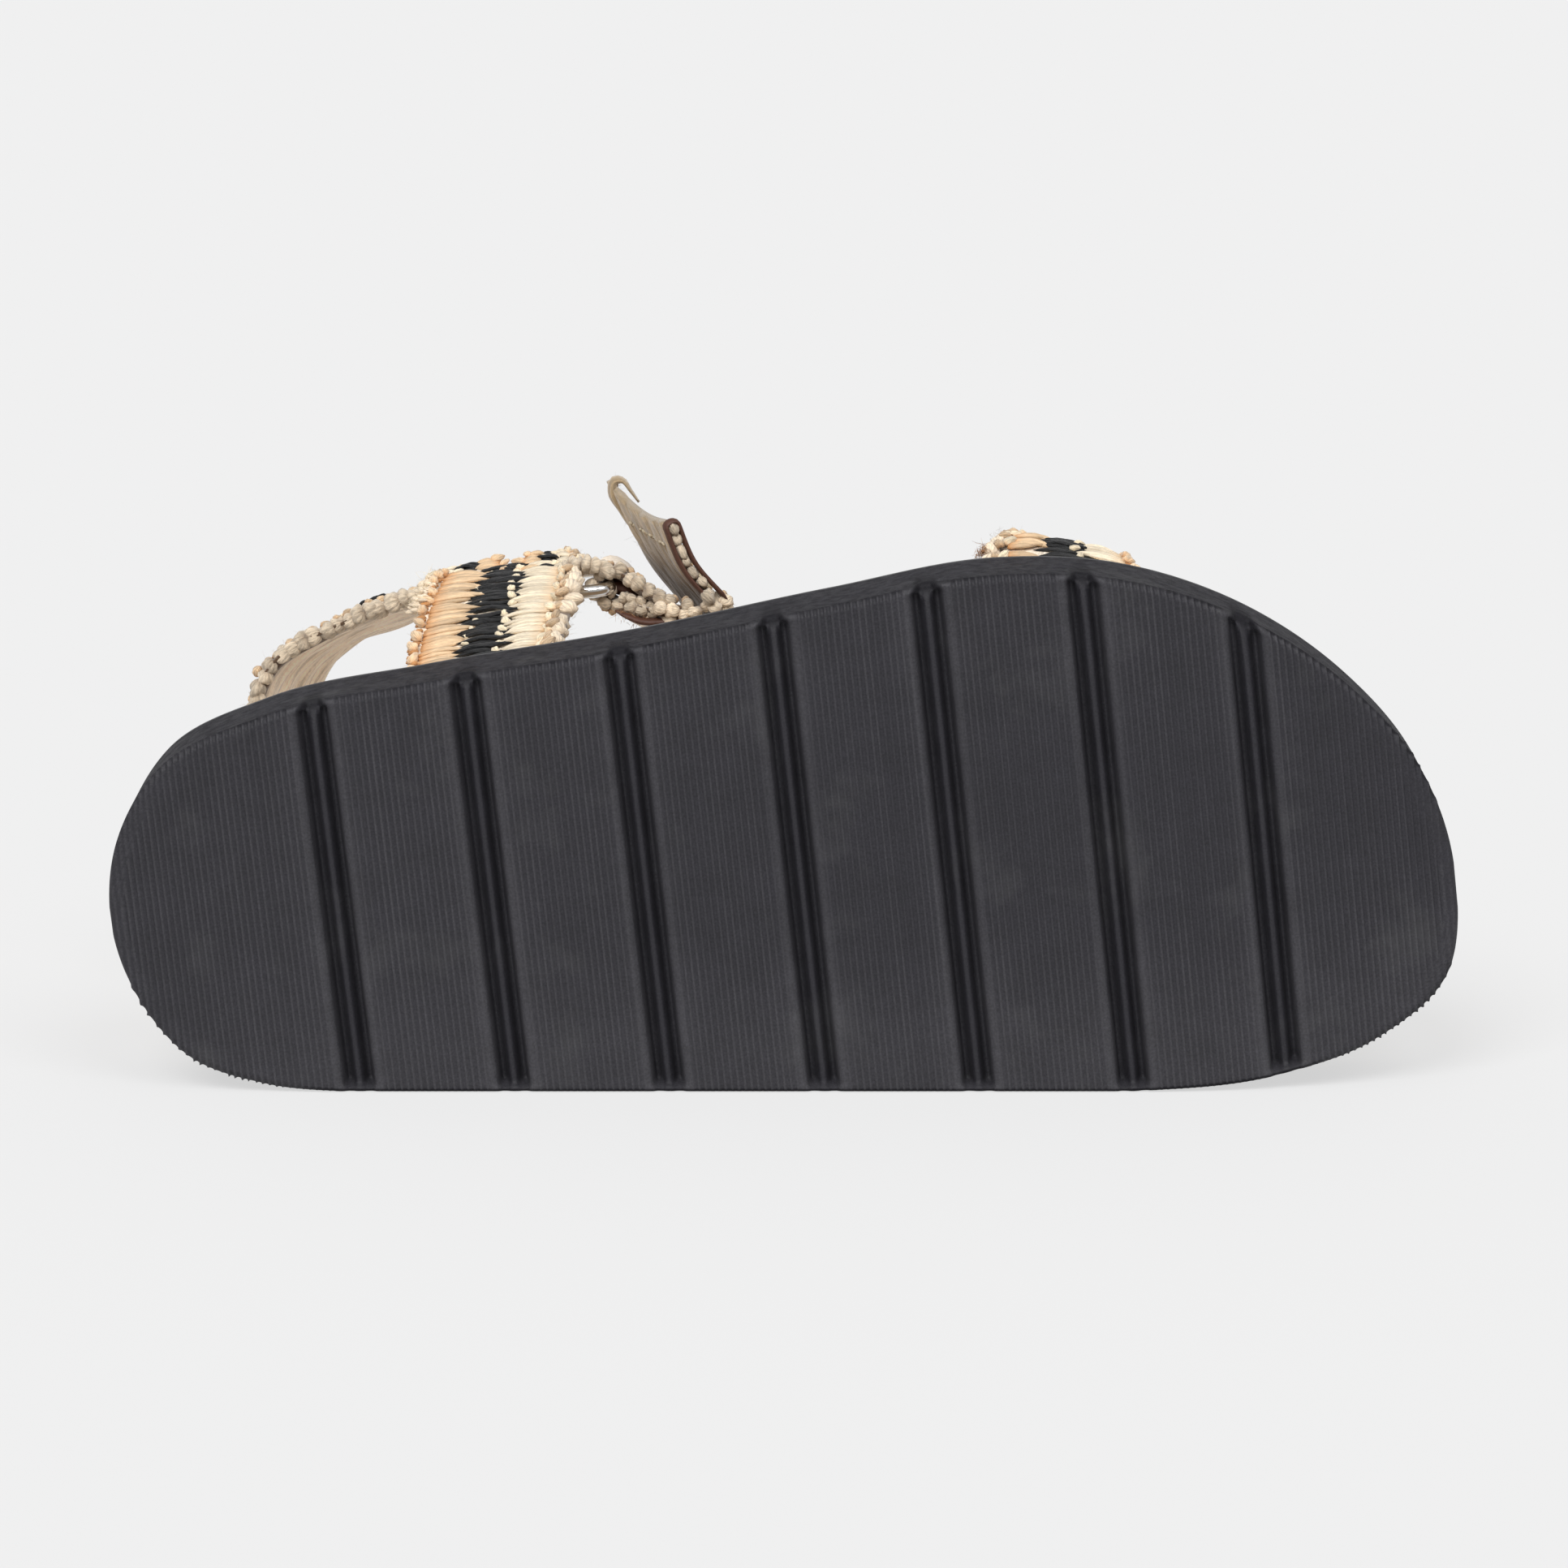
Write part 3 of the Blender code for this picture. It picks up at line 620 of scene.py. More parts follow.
def skin(name, grids, loop=False, shifts=None, values=None):
    """One object from like grids of points [count, rows, columns, 3] in shoe millimetres.

    Columns run round each grid. Open rows get end caps; with loop the rows close up too. The UV map counts
    rows and columns, moved along by the shifts, and values holds numbers for each point by name.
    """
    count, rows, columns = grids.shape[:3]
    quads, corners = grid_quads(rows, columns, loop)
    if not loop:
        caps, cap_corners = cap_quads(rows, columns)
        quads, corners = np.vstack([quads, caps]), np.vstack([corners, cap_corners])
    points = laid_down(grids.reshape(-1, 3))
    first = points[: rows * columns]
    a, b, c, d = (first[quads[:, k]] - first.mean(axis=0) for k in range(4))
    if np.sum(np.cross(c - a, d - b) * (a + b + c + d)) < 0:
        quads, corners = quads[:, ::-1], corners[:, ::-1]
    all_quads = (quads[None] + (np.arange(count) * rows * columns)[:, None, None]).reshape(-1, 4)
    uv = np.broadcast_to(corners.astype(float), (count, *corners.shape)).copy()
    if shifts is not None:
        uv[..., 0] += shifts[:, None, None]
    mesh = bpy.data.meshes.new(name)
    mesh.vertices.add(len(points))
    mesh.vertices.foreach_set("co", points.ravel())
    mesh.loops.add(all_quads.size)
    mesh.loops.foreach_set("vertex_index", all_quads.ravel())
    mesh.polygons.add(len(all_quads))
    mesh.polygons.foreach_set("loop_start", np.arange(len(all_quads)) * 4)
    mesh.uv_layers.new(name="Lay").data.foreach_set("uv", uv.ravel())
    for label, numbers in (values or {}).items():
        full = np.broadcast_to(numbers, (count, rows, columns)).ravel()
        mesh.attributes.new(label, "FLOAT", "POINT").data.foreach_set("value", full)
    mesh.update(calc_edges=True)
    mesh.validate()
    mesh.shade_smooth()
    made = bpy.data.objects.new(name, mesh)
    bpy.context.collection.objects.link(made)
    return made


def finish_piece(piece, material, node=None):
    """Gives a piece its material and its body, and hides the solid that it stands for."""
    piece.data.materials.append(material)
    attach(piece, BODY)
    if node:
        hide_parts(node)
    return piece


def tubes(path, normal, width, thickness, sides, relief=0.0):
    """Ellipses carried along paths [count, steps, 3]: wide across the path, thin along the normal.

    relief [count, steps, sides] swells the ellipse by a share.
    """
    run = np.gradient(path, axis=1)
    across = unit(np.cross(run, normal))
    up = unit(np.cross(across, run))
    turn = np.linspace(0, 2 * math.pi, sides, endpoint=False)
    swell = np.broadcast_to(1 + np.asarray(relief), (*path.shape[:2], sides))[..., None]
    wide = across[:, :, None] * (np.cos(turn)[:, None] * width[..., None, None] / 2)
    thin = up[:, :, None] * (np.sin(turn)[:, None] * thickness[..., None, None] / 2)
    return path[:, :, None] + (wide + thin) * swell


class Finish:
    """A material built step by step around its shader."""

    def __init__(self, name, **sockets):
        self.material = bpy.data.materials.new(name)
        self.material.use_nodes = True
        self.tree = self.material.node_tree
        self.shader = self.tree.nodes["Principled BSDF"]
        for socket, value in sockets.items():
            self.shader.inputs[socket.replace("_", " ")].default_value = value

    def node(self, kind, inputs=None, **settings):
        """A shader node with its settings made and its inputs linked or filled in."""
        made = self.tree.nodes.new("ShaderNode" + kind)
        for key, value in settings.items():
            setattr(made, key, value)
        for key, value in (inputs or {}).items():
            if isinstance(value, bpy.types.NodeSocket):
                self.tree.links.new(value, made.inputs[key])
            else:
                made.inputs[key].default_value = value
        return made

    def place(self, scale=(1.0, 1.0, 1.0), lay=False):
        """Object coordinates, or the piece's own lay along its surface, stretched by a scale."""
        if lay:
            source = self.node("UVMap", uv_map="Lay").outputs["UV"]
        else:
            source = self.node("TexCoord").outputs["Object"]
        return self.node("Mapping", {"Vector": source, "Scale": scale}).outputs["Vector"]

    def value(self, name):
        """The number that each point of the piece holds under a name."""
        return self.node("Attribute", attribute_name=name).outputs["Fac"]

    def noise(self, place, scale, detail=3.0, roughness=0.5):
        """Smooth noise from 0 to 1 at a place."""
        inputs = {"Vector": place, "Scale": scale, "Detail": detail, "Roughness": roughness}
        return self.node("TexNoise", inputs).outputs["Fac"]

    def ramp(self, factor, *stops):
        """Colours or grey levels at places from 0 to 1."""
        made = self.node("ValToRGB", {"Fac": factor})
        elements = made.color_ramp.elements
        while len(elements) < len(stops):
            elements.new(0.5)
        for element, (position, colour) in zip(elements, stops):
            element.position = position
            element.color = colour if isinstance(colour, tuple) else (colour, colour, colour, 1.0)
        return made.outputs["Color"]

    def mix(self, factor, first, second, blend="MIX"):
        """Two colours blended by a factor."""
        made = self.node("Mix", data_type="RGBA", blend_type=blend)
        for place, value in ((0, factor), (6, first), (7, second)):
            if isinstance(value, bpy.types.NodeSocket):
                self.tree.links.new(value, made.inputs[place])
            else:
                made.inputs[place].default_value = value
        return made.outputs[2]

    def bump(self, height, strength, distance, after=None):
        """Normals tilted by a height, on top of other normals if there are any."""
        inputs = {"Height": height, "Strength": strength, "Distance": distance}
        if after:
            inputs["Normal"] = after
        return self.node("Bump", inputs).outputs["Normal"]

    def set(self, **links):
        """Links the shader's inputs and gives back the material."""
        for socket, source in links.items():
            self.tree.links.new(source, self.shader.inputs[socket.replace("_", " ")])
        return self.material


def shade(colour, share):
    """A colour with its light scaled, no further than its strongest part can go."""
    parts = np.array(tuple(colour)[:3])
    return (*(parts * min(share, 1 / parts.max())).tolist(), 1.0)


def rubber_finish(colours):
    """Matt moulded rubber: pale where it is worn, dark along the parting line, with painted shade under the
    arches and on the troughs' ridges, a painted contact shadow along the edge on the floor and a painted
    highlight along the upper rim, mottled, dusty, scuffed on the wall and grained.
    """
    finish = Finish("sole_rubber")
    place = finish.place()
    mottle = finish.noise(place, 140.0, 6.0, 0.65)
    dust = finish.noise(place, 55.0, 4.0, 0.6)
    grain = finish.noise(place, 2400.0, 2.0)
    base = finish.mix(finish.value("worn"), tuple(colours.rubber), tuple(colours.rubber_worn))
    # Darker along the parting line, and painted contact shadow and painted shade where the dark share says so
    base = finish.mix(finish.value("dark"), base, shade(colours.rubber, 0.35))
    patch = finish.ramp(mottle, (0.3, 0.84), (0.7, 1.1))
    colour = finish.mix(1.0, base, patch, "MULTIPLY")
    colour = finish.mix(1.0, colour, finish.ramp(grain, (0.3, 0.78), (0.7, 1.22)), "MULTIPLY")
    colour = finish.mix(finish.ramp(dust, (0.56, 0.0), (0.85, 0.35)), colour, tuple(colours.dust))
    wall = finish.value("wall")
    scuffs = finish.noise(place, 420.0, 6.0, 0.75)
    scuffed = finish.mix(1.0, colour, finish.ramp(scuffs, (0.4, 0.8), (0.6, 1.2)), "MULTIPLY")
    colour = finish.mix(wall, colour, scuffed)
    # Painted highlight along the upper rim, twice as bright as the dust colour
    colour = finish.mix(finish.value("rim"), colour, shade(colours.dust, 2.0))
    shine = finish.mix(wall, (0.3, 0.3, 0.3, 1.0), finish.ramp(scuffs, (0.4, 0.08), (0.6, 0.24)))
    # No reflection where it is dark, so the painted shade and contact shadow stay dull
    shine = finish.mix(finish.value("dark"), shine, (0.0, 0.0, 0.0, 1.0))
    roughness = finish.ramp(mottle, (0.3, 0.55), (0.75, 0.72))
    normal = finish.bump(grain, 0.4, 0.0002)
    normal = finish.bump(finish.mix(wall, (0.5, 0.5, 0.5, 1.0), scuffs), 0.5, 0.0006, after=normal)
    finish.set(Specular_IOR_Level=shine)
    return finish.set(Base_Color=colour, Roughness=roughness, Normal=normal)


def raffia_finish(name, pale, dark, root, roughness, shine=0.5):
    """Satin plant fibre: each strand has its own tone, streaks run along it, and its root is stained."""
    finish = Finish(name, Specular_IOR_Level=shine, Sheen_Weight=0.05 * shine)
    streaks = finish.noise(finish.place((0.22, 1.6, 1.0), lay=True), 3.0, 3.0, 0.6)
    tone = finish.ramp(finish.value("tone"), (0.0, dark), (0.45, pale), (1.0, shade(pale, 1.12)))
    streaked = finish.mix(1.0, tone, finish.ramp(streaks, (0.3, 0.62), (0.62, 1.08)), "MULTIPLY")
    stain = finish.ramp(finish.value("reach"), (0.0, 0.95), (0.16, 0.45), (0.36, 0.0))
    colour = finish.mix(stain, streaked, root)
    normal = finish.bump(streaks, 0.5, 0.0003)
    satin = finish.ramp(streaks, (0.2, roughness + 0.12), (0.8, roughness - 0.06))
    return finish.set(Base_Color=colour, Roughness=satin, Normal=normal)


def jute_finish(name, yarn, crease_shade, relief=1.0):
    """Dry twisted fibre: fine slanting threads, uneven tone and painted shade in the given crease colour at
    both ends of a knot.
    """
    finish = Finish(name, Specular_IOR_Level=0.25, Sheen_Weight=0.3, Sheen_Roughness=0.6, Roughness=0.92)
    threads = finish.noise(finish.place((0.22, 1.1, 1.0), lay=True), 1.5, 3.0, 0.6)
    fuzz = finish.noise(finish.place(), 1500.0, 4.0, 0.7)
    tone = finish.ramp(finish.value("tone"), (0.0, shade(yarn, 0.78)), (0.5, yarn), (1.0, shade(yarn, 1.12)))
    threaded = finish.mix(1.0, tone, finish.ramp(threads, (0.36, 0.62), (0.6, 1.08)), "MULTIPLY")
    # Painted shade at both ends of each knot
    end = finish.ramp(finish.value("reach"), (0.0, 0.5), (0.2, 0.0), (0.8, 0.0), (1.0, 0.5))
    colour = finish.mix(end, threaded, crease_shade)
    normal = finish.bump(threads, 0.9 * relief, 0.0006)
    normal = finish.bump(fuzz, 0.4 * relief, 0.0003, after=normal)
    return finish.set(Base_Color=colour, Normal=normal)


def lining_finish(colours):
    """Thin suede lining: long streaks along the band, a greyer free end, and painted shade beside the jute
    edge and at the free end's root.
    """
    finish = Finish("lining", Specular_IOR_Level=0.25, Sheen_Weight=0.6, Sheen_Roughness=0.5)
    streaks = finish.noise(finish.place((0.09, 1.1, 1.0), lay=True), 1.0, 5.0, 0.65)
    nap = finish.noise(finish.place(), 1700.0, 3.0, 0.6)
    base = finish.mix(finish.value("tail"), tuple(colours.lining), tuple(colours.lining_tail))
    # Painted shade beside the jute edge and at the root of the free end
    base = finish.mix(finish.value("crease_shade"), base, shade(colours.crease_shade, 0.5))
    streaked = finish.mix(1.0, base, finish.ramp(streaks, (0.36, 0.64), (0.58, 1.2)), "MULTIPLY")
    colour = finish.mix(1.0, streaked, finish.ramp(nap, (0.3, 0.86), (0.7, 1.08)), "MULTIPLY")
    normal = finish.bump(streaks, 0.6, 0.0007)
    normal = finish.bump(nap, 0.35, 0.0002, after=normal)
    roughness = finish.ramp(streaks, (0.2, 0.95), (0.8, 0.75))
    return finish.set(Base_Color=colour, Roughness=roughness, Normal=normal)


def leather_finish(name, colour, grain_scale):
    """Leather: a fine cell grain with worn, paler tops and a half-dull polish."""
    finish = Finish(name, Specular_IOR_Level=0.4)
    place = finish.place()
    grain = finish.node("TexVoronoi", {"Vector": place, "Scale": grain_scale}).outputs["Distance"]
    mottle = finish.noise(place, 180.0, 4.0, 0.6)
    base = finish.ramp(mottle, (0.25, shade(colour, 0.75)), (0.75, shade(colour, 1.12)))
    colour = finish.mix(1.0, base, finish.ramp(grain, (0.0, 1.05), (0.7, 0.85)), "MULTIPLY")
    roughness = finish.ramp(mottle, (0.2, 0.5), (0.8, 0.68))
    normal = finish.bump(grain, 0.25, 0.0002)
    return finish.set(Base_Color=colour, Roughness=roughness, Normal=normal)


def nickel_finish(colours):
    """Polished nickel wire with faint drawing marks along it."""
    finish = Finish("nickel", Base_Color=tuple(colours.nickel), Metallic=1.0)
    marks = finish.noise(finish.place((0.05, 1.4, 1.0), lay=True), 2.0, 3.0, 0.6)
    roughness = finish.ramp(marks, (0.3, 0.1), (0.7, 0.22))
    return finish.set(Roughness=roughness, Normal=finish.bump(marks, 0.08, 0.0001))


def toe_share(x):
    """Rises from nothing where the toe spring starts to one at the toe tip, along a parabola."""
    return np.clip((x - TOE_SPRING_START) / (SOLE_LENGTH - TOE_SPRING_START), 0, 1) ** 2


def trough_distance(x):
    """Distance to the middle of the nearest trough."""
    number = np.clip(np.round((x - FIRST_TROUGH) / TROUGH_PITCH), 0, TROUGH_COUNT - 1)
    return np.abs(x - FIRST_TROUGH - number * TROUGH_PITCH)


def tread(x, cut_share=1.0):
    """Height of the tread: rolled up at the heel, sprung at the toe and cut by a share of the troughs."""
    roll = HEEL_ROLL * np.clip(1 - x / HEEL_ROLL_RUN, 0, 1) ** 2
    blur = np.linspace(-TROUGH_BLUR, TROUGH_BLUR, 7)[:, None]
    cut = np.interp(np.abs(trough_distance(x)[None] + blur), *np.array(TROUGH).T).mean(axis=0)
    return roll + TOE_SPRING * toe_share(x) + cut * cut_share


def open_share(inset):
    """How much of a trough is open at a distance from the side wall, which closes its ends with a low lip."""
    return LIP_SHARE + (1 - LIP_SHARE) * smooth_step(inset, *LIP_RUN)


def rim(x):
    """Height of the sole's upper face, lifting a little towards the toe."""
    return SOLE_THICKNESS + TOE_RIM_LIFT * toe_share(x)


def level(stations, inset, height):
    """One level of a slab: its outer and inner points at each station, moved inwards by the inset."""
    end_run = 24.0
    squeeze = np.clip(1 - stations / end_run, 0, 1) - np.clip(1 - (SOLE_LENGTH - stations) / end_run, 0, 1)
    x = stations + inset * squeeze
    return [np.column_stack([x, np.interp(x, *side.T), height(x)]) for side in outline(inset)]


def edge_levels(radius, base, direction, steps):
    """Levels of a rounded edge: (inset, height) from the face, inset by the radius, to the wall."""
    for turn in np.linspace(0, math.pi / 2, steps):
        rise = direction * radius * (1 - math.cos(turn))
        yield radius * (1 - math.sin(turn)), lambda x, rise=rise: base(x) + rise


def tread_edge_levels(steps):
    """Levels of the tread's rim, from the face to the wall: troughs close, then the edge rounds off."""
    for inset in TREAD_RIM_INSETS:
        yield inset, lambda x, inset=inset: tread(x, open_share(inset))
    for turn in np.linspace(0, math.pi / 2, steps):
        inset = TREAD_EDGE_RADIUS * (1 - math.sin(turn))
        rise = TREAD_EDGE_RADIUS * (1 - math.cos(turn))
        yield inset, lambda x, inset=inset, rise=rise: tread(x, open_share(inset)) + rise


def across_face(start, end, shares):
    """Points between the two sides of a face, at shares of the way."""
    return [start + (end - start) * share for share in shares]


def slab(stations, levels, under_shares, over_shares):
    """Rings of a slab, from the middle of its underside: up the outer side, over the top and down again."""
    sides = [level(stations, inset, height) for inset, height in levels]
    outer = [side[0] for side in sides]
    inner = [side[1] for side in reversed(sides)]
    over = across_face(outer[-1], inner[0], over_shares)
    under = across_face(inner[-1], outer[0], under_shares)
    half = len(under) // 2
    return np.stack(under[half:] + outer + over + inner + under[:half], axis=1)


def slab_values(level_values, under_value, under_count, over_value, over_count):
    """A number for each point of a slab's ring, in the order of its points."""
    half = [under_value] * (under_count // 2)
    return np.array([*half, *level_values, *[over_value] * over_count, *level_values[::-1], *half])


def tip_stations(step):
    """Stations from heel to toe at an even step, with a few more close to the two tips."""
    tips = np.array([0.02, 0.06, 0.12, 0.2])
    return np.unique(np.concatenate([tips, np.arange(0.3, SOLE_LENGTH - 0.3, step), SOLE_LENGTH - tips]))


def surface_normals(grid):
    """Unit normals of a grid of rings, from the steps along it and round it."""
    along = np.gradient(grid, axis=0)
    around = np.roll(grid, -1, axis=1) - np.roll(grid, 1, axis=1)
    return unit(np.cross(along, around))


def wall_height(share):
    """Height of the side wall at a share of the way from the tread's edge to the upper rim."""

    def height(x):
        foot = tread(x, LIP_SHARE) + TREAD_EDGE_RADIUS
        return foot + (rim(x) - RIM_RADIUS - foot) * share

    return height


def sole_levels():
    """Levels of the sole: the rim of its tread, its side wall and its rounded upper rim."""
    wall = [(0.0, wall_height(share)) for share in WALL_SHARES]
    upper = list(edge_levels(RIM_RADIUS, rim, -1, RIM_STEPS))
    return [*tread_edge_levels(EDGE_STEPS), *wall, *upper[::-1]]


def sole_ring(first, numbers, on_tread=0.0, on_top=0.0):
    """A number for each point of the sole's ring: those given from one level on, and nothing elsewhere."""
    by_level = np.zeros(LEVEL_COUNT)
    by_level[first : first + len(numbers)] = numbers
    return slab_values(by_level, on_tread, len(TREAD_SHARES), on_top, len(UPPER_SHARES))


def run_out():
    """How much of an arch each level shows: more towards the tread's edge, then less up the wall."""
    towards_edge = np.interp(np.arange(EDGE_COUNT), (0, len(TREAD_RIM_INSETS)), RUN_OUT)
    return sole_ring(0, [*towards_edge, *(1 - np.array(WALL_SHARES))])


def outer_arches(x, y, levels):
    """How far the outer ends of the troughs rise into arches in the foot of the wall.

    An arch is highest at the trough's middle, and counts where it is higher than the trough is open there.
    """
    insets = np.array([inset for inset, _ in levels[:EDGE_COUNT]])
    opened = sole_ring(0, [*open_share(insets), *[LIP_SHARE] * len(WALL_SHARES)])
    depth = (tread(x.ravel()) - tread(x.ravel(), 0.0)).reshape(x.shape)
    arch = OUTER_ARCH * (1 - smooth_step(trough_distance(x), *ARCH_SLOPE)) - opened * depth
    return np.clip(arch, 0, None) * run_out() * (1 - smooth_step(y, *ARCH_SIDE))


class TreadMap:
    """What lies at each point of the sole's rings: the number of its rib, and shares from nothing to one."""

    def __init__(self, x, y, pitch):
        away = trough_distance(x)
        self.x, self.y = x, y
        self.rib = np.clip(x / pitch, 0, None).astype(int)
        self.rib_count = self.rib.max() + 1
        self.valley = 1 - smooth_step(np.abs((x / pitch) % 1.0 - 0.5) * 2, *RIB_FLANK)
        self.ridge = 1 - smooth_step(away, *RIDGE_FLANK)
        self.trough = 1 - smooth_step(away, *TROUGH_WALL)
        self.plain = 1 - smooth_step(away, *RIB_FREE)
        self.shoulder = 1 - smooth_step(away, *SHOULDER)
        self.bite = sole_ring(0, [*np.ones(len(TREAD_RIM_INSETS)), *EDGE_BITE], on_tread=1.0)
        self.face = np.minimum(self.bite, 1.0)
        turned_edge = sole_ring(EDGE_COUNT - 4, np.ones(4))
        lying = smooth_step(x, *LYING_HEEL) * (1 - smooth_step(x, *LYING_TOE)) * smooth_step(y, *LYING_SIDE)
        # The edge on the floor: it loses rib relief and carries the painted contact shadow
        self.lying_edge = lying * turned_edge


def rib_relief(at, depth, rng):
    """Height of the ribs over the plain tread: valleys sink, and uneven teeth stand out at heel and toe."""
    tips = smooth_step(at.x, *TIP_FADE) * smooth_step(SOLE_LENGTH - at.x, *TIP_FADE)
    sunk = depth * at.valley * (1 - at.plain) * tips * at.bite * (1 - LYING_WEAR * at.lying_edge)
    heel = (1 - smooth_step(at.x, *RAGGED_HEEL)) * smooth_step(at.y, *LYING_SIDE) * tips
    toe = smooth_step(at.x, *RAGGED_TOE) * smooth_step(at.y, *RAGGED_TOE_SIDE) * tips
    teeth = sole_ring(EDGE_COUNT - len(EDGE_TEETH), EDGE_TEETH)
    tall = rng.uniform(0.0, TOOTH_MOST, at.rib_count)[at.rib]
    return TOOTH_HEIGHT * tall * (1 - at.valley) * (heel + toe) * teeth - sunk


def worn_share(at, rng):
    """How pale the tread is: rubbed rib by rib, more at shoulders and the floor, less in the middle of the
    forefoot, and at a lower, even tone in the troughs, lowest on their ridges.
    """
    rubbed = rng.normal(0.85, 0.22, at.rib_count)[at.rib]
    worn = np.maximum((1 - at.valley) * rubbed * RIB_WEAR, at.plain * PLAIN_WEAR)
    worn = worn + SHOULDER_WEAR * at.shoulder + FLOOR_WEAR * smooth_step(at.y, *FLOOR_SIDE)
    middle = 1 - smooth_step(np.abs(at.y), *FOREFOOT_SIDES)
    worn = worn - FOREFOOT_WEAR * smooth_step(at.x, *FOREFOOT) * middle
    worn = worn + (TROUGH_TONE * (1 - at.ridge) - worn) * at.trough
    return worn * at.face


def uneven_share(stations, rng):
    """A share that changes from place to place along the sole: quick changes times slow ones."""
    quick, slow = np.arange(0, SOLE_LENGTH + 1, 0.6), np.arange(0, SOLE_LENGTH + 9, 9.0)
    share = np.interp(stations, quick, rng.uniform(0.35, 1.0, len(quick)))
    return (share * np.interp(stations, slow, rng.uniform(0.4, 1.0, len(slow))))[:, None]


def dark_share(at, arch, uneven):
    """How dark the rubber is: a dark line that parts tread and wall, a painted contact shadow along the edge
    on the floor, and painted shade on the troughs' ridges and under their arches.
    """
    parting = sole_ring(EDGE_COUNT - 2, np.ones(3))
    dark = PARTING_SHADE * parting * uneven * smooth_step(at.x, *PARTING_START)
    # Painted contact shadow along the edge on the floor, and painted shade on the troughs' ridges
    dark = np.maximum(dark, np.maximum(LYING_SHADE * at.lying_edge, RIDGE_SHADE * at.ridge * at.face))
    # Painted shade under the arches at the troughs' outer ends
    return np.maximum(dark, ARCH_SHADE * smooth_step(arch, 0.3, 2.5) * run_out() ** 2)


class SANDAL_OT_sole(bpy.types.Operator):
    """Builds the moulded sole: a slab with cross troughs, rounded edges and fine ribs across its tread"""

    bl_idname = "sandal.sole"
    bl_label = "Build Sole"

    def execute(self, context):
        sizes = context.scene.sandal_sizes
        pitch, depth = sizes.rib_pitch / MM, sizes.rib_depth / MM
        rng = np.random.default_rng(50)
        stations, levels = tip_stations(pitch / 6), sole_levels()
        rings = slab(stations, levels, TREAD_SHARES, UPPER_SHARES)
        at = TreadMap(rings[..., 0], rings[..., 1], pitch)
        arch = outer_arches(at.x, at.y, levels)
        rings[..., 2] += arch
        normals = surface_normals(rings)
        outward = np.sign(np.sum(normals * (rings - rings.mean(axis=(0, 1))), axis=2).mean())
        rings = rings + normals * outward * rib_relief(at, depth, rng)[..., None]
        worn = worn_share(at, rng)
        uneven = uneven_share(stations, rng)
        values = {
            "worn": worn,
            # The dark share holds the parting line, the painted contact shadow and the painted shade
            "dark": dark_share(at, arch, uneven),
            "wall": sole_ring(EDGE_COUNT, np.ones(LEVEL_COUNT - EDGE_COUNT), on_top=1.0),
            # Painted highlight along the top of the wall and round the upper rim, uneven along the sole
            "rim": sole_ring(LEVEL_COUNT - RIM_STEPS - 1, PAINTED_RIM_HIGHLIGHT) * (0.4 + 0.6 * uneven),
        }
        piece = skin("sole_shell", rings[None], values=values)
        finish_piece(piece, rubber_finish(context.scene.sandal_colours), "sole")
        return {"FINISHED"}


def draw_in(points, foot):
    """Moves a footbed's points inwards, clear of the straight foot of a strap."""
    ends = sorted([(foot.x, foot.y), (foot.x_far, foot.y_far)])
    x, y = points[..., 0], points[..., 1]
    line = np.interp(x, *np.transpose(ends))
    side = np.sign(line)
    beside = (x > ends[0][0] - NOTCH_GAP) & (x < ends[1][0] + NOTCH_GAP)
    points[..., 1] = np.where(beside, side * np.minimum(side * y, np.abs(line) - NOTCH_DEPTH), y)


class SANDAL_OT_footbed(bpy.types.Operator):
    """Builds the footbed: a thin rounded slab on the sole, drawn in where the straps come up"""

    bl_idname = "sandal.footbed"
    bl_label = "Build Footbed"

    def execute(self, context):
        def underside(x):
            return rim(x) + FOOTBED_GAP

        def upper_face(x):
            return rim(x) + FOOTBED_GAP + FOOTBED_THICKNESS

        edge = list(edge_levels(FOOTBED_EDGE, upper_face, -1, 6))[::-1]
        levels = [(FOOTBED_INSET, underside)]
        levels += [(FOOTBED_INSET + inset, height) for inset, height in edge]
        x = tip_stations(0.7)
        rings = slab(x, levels, (0.2, 0.8), (0.03, 0.1, 0.3, 0.7, 0.9, 0.97))
        for foot in STRAP_FEET:
            draw_in(rings, foot)
        piece = skin("footbed", rings[None])
        colours = context.scene.sandal_colours
        finish_piece(piece, leather_finish("footbed", colours.footbed, 900.0), "insole")
        return {"FINISHED"}


class SANDAL_OT_ring(bpy.types.Operator):
    """Builds the metal ring: a round wire carried round a rectangle with rounded corners"""

    bl_idname = "sandal.ring"
    bl_label = "Build Ring"

    def execute(self, context):
        steps, sides = 16, 28
        middle = np.array([(RING_FRONT + RING_REAR) / 2, (RING_LOW + RING_HIGH) / 2])
        half = np.array([RING_FRONT, RING_HIGH]) - middle - RING_CORNER
        turn = (np.linspace(0, math.pi / 2, steps) + np.arange(4)[:, None] * math.pi / 2).ravel()
        side = np.repeat([[1, 1], [-1, 1], [-1, -1], [1, -1]], steps, axis=0)
        outwards = np.column_stack([np.cos(turn), np.sin(turn)])
        path = middle + side * half + RING_CORNER * outwards
        around = np.linspace(0, 2 * math.pi, sides, endpoint=False)
        flat = path[:, None] + outwards[:, None] * (WIRE_RADIUS * np.cos(around))[None, :, None]
        out = np.broadcast_to(RING_OUT + WIRE_RADIUS * np.sin(around), flat.shape[:2])
        rings = np.stack([flat[..., 0], out, flat[..., 1]], axis=-1)
        piece = skin("ring_wire", rings[None], loop=True)
        finish_piece(piece, nickel_finish(context.scene.sandal_colours), "ring")
        return {"FINISHED"}


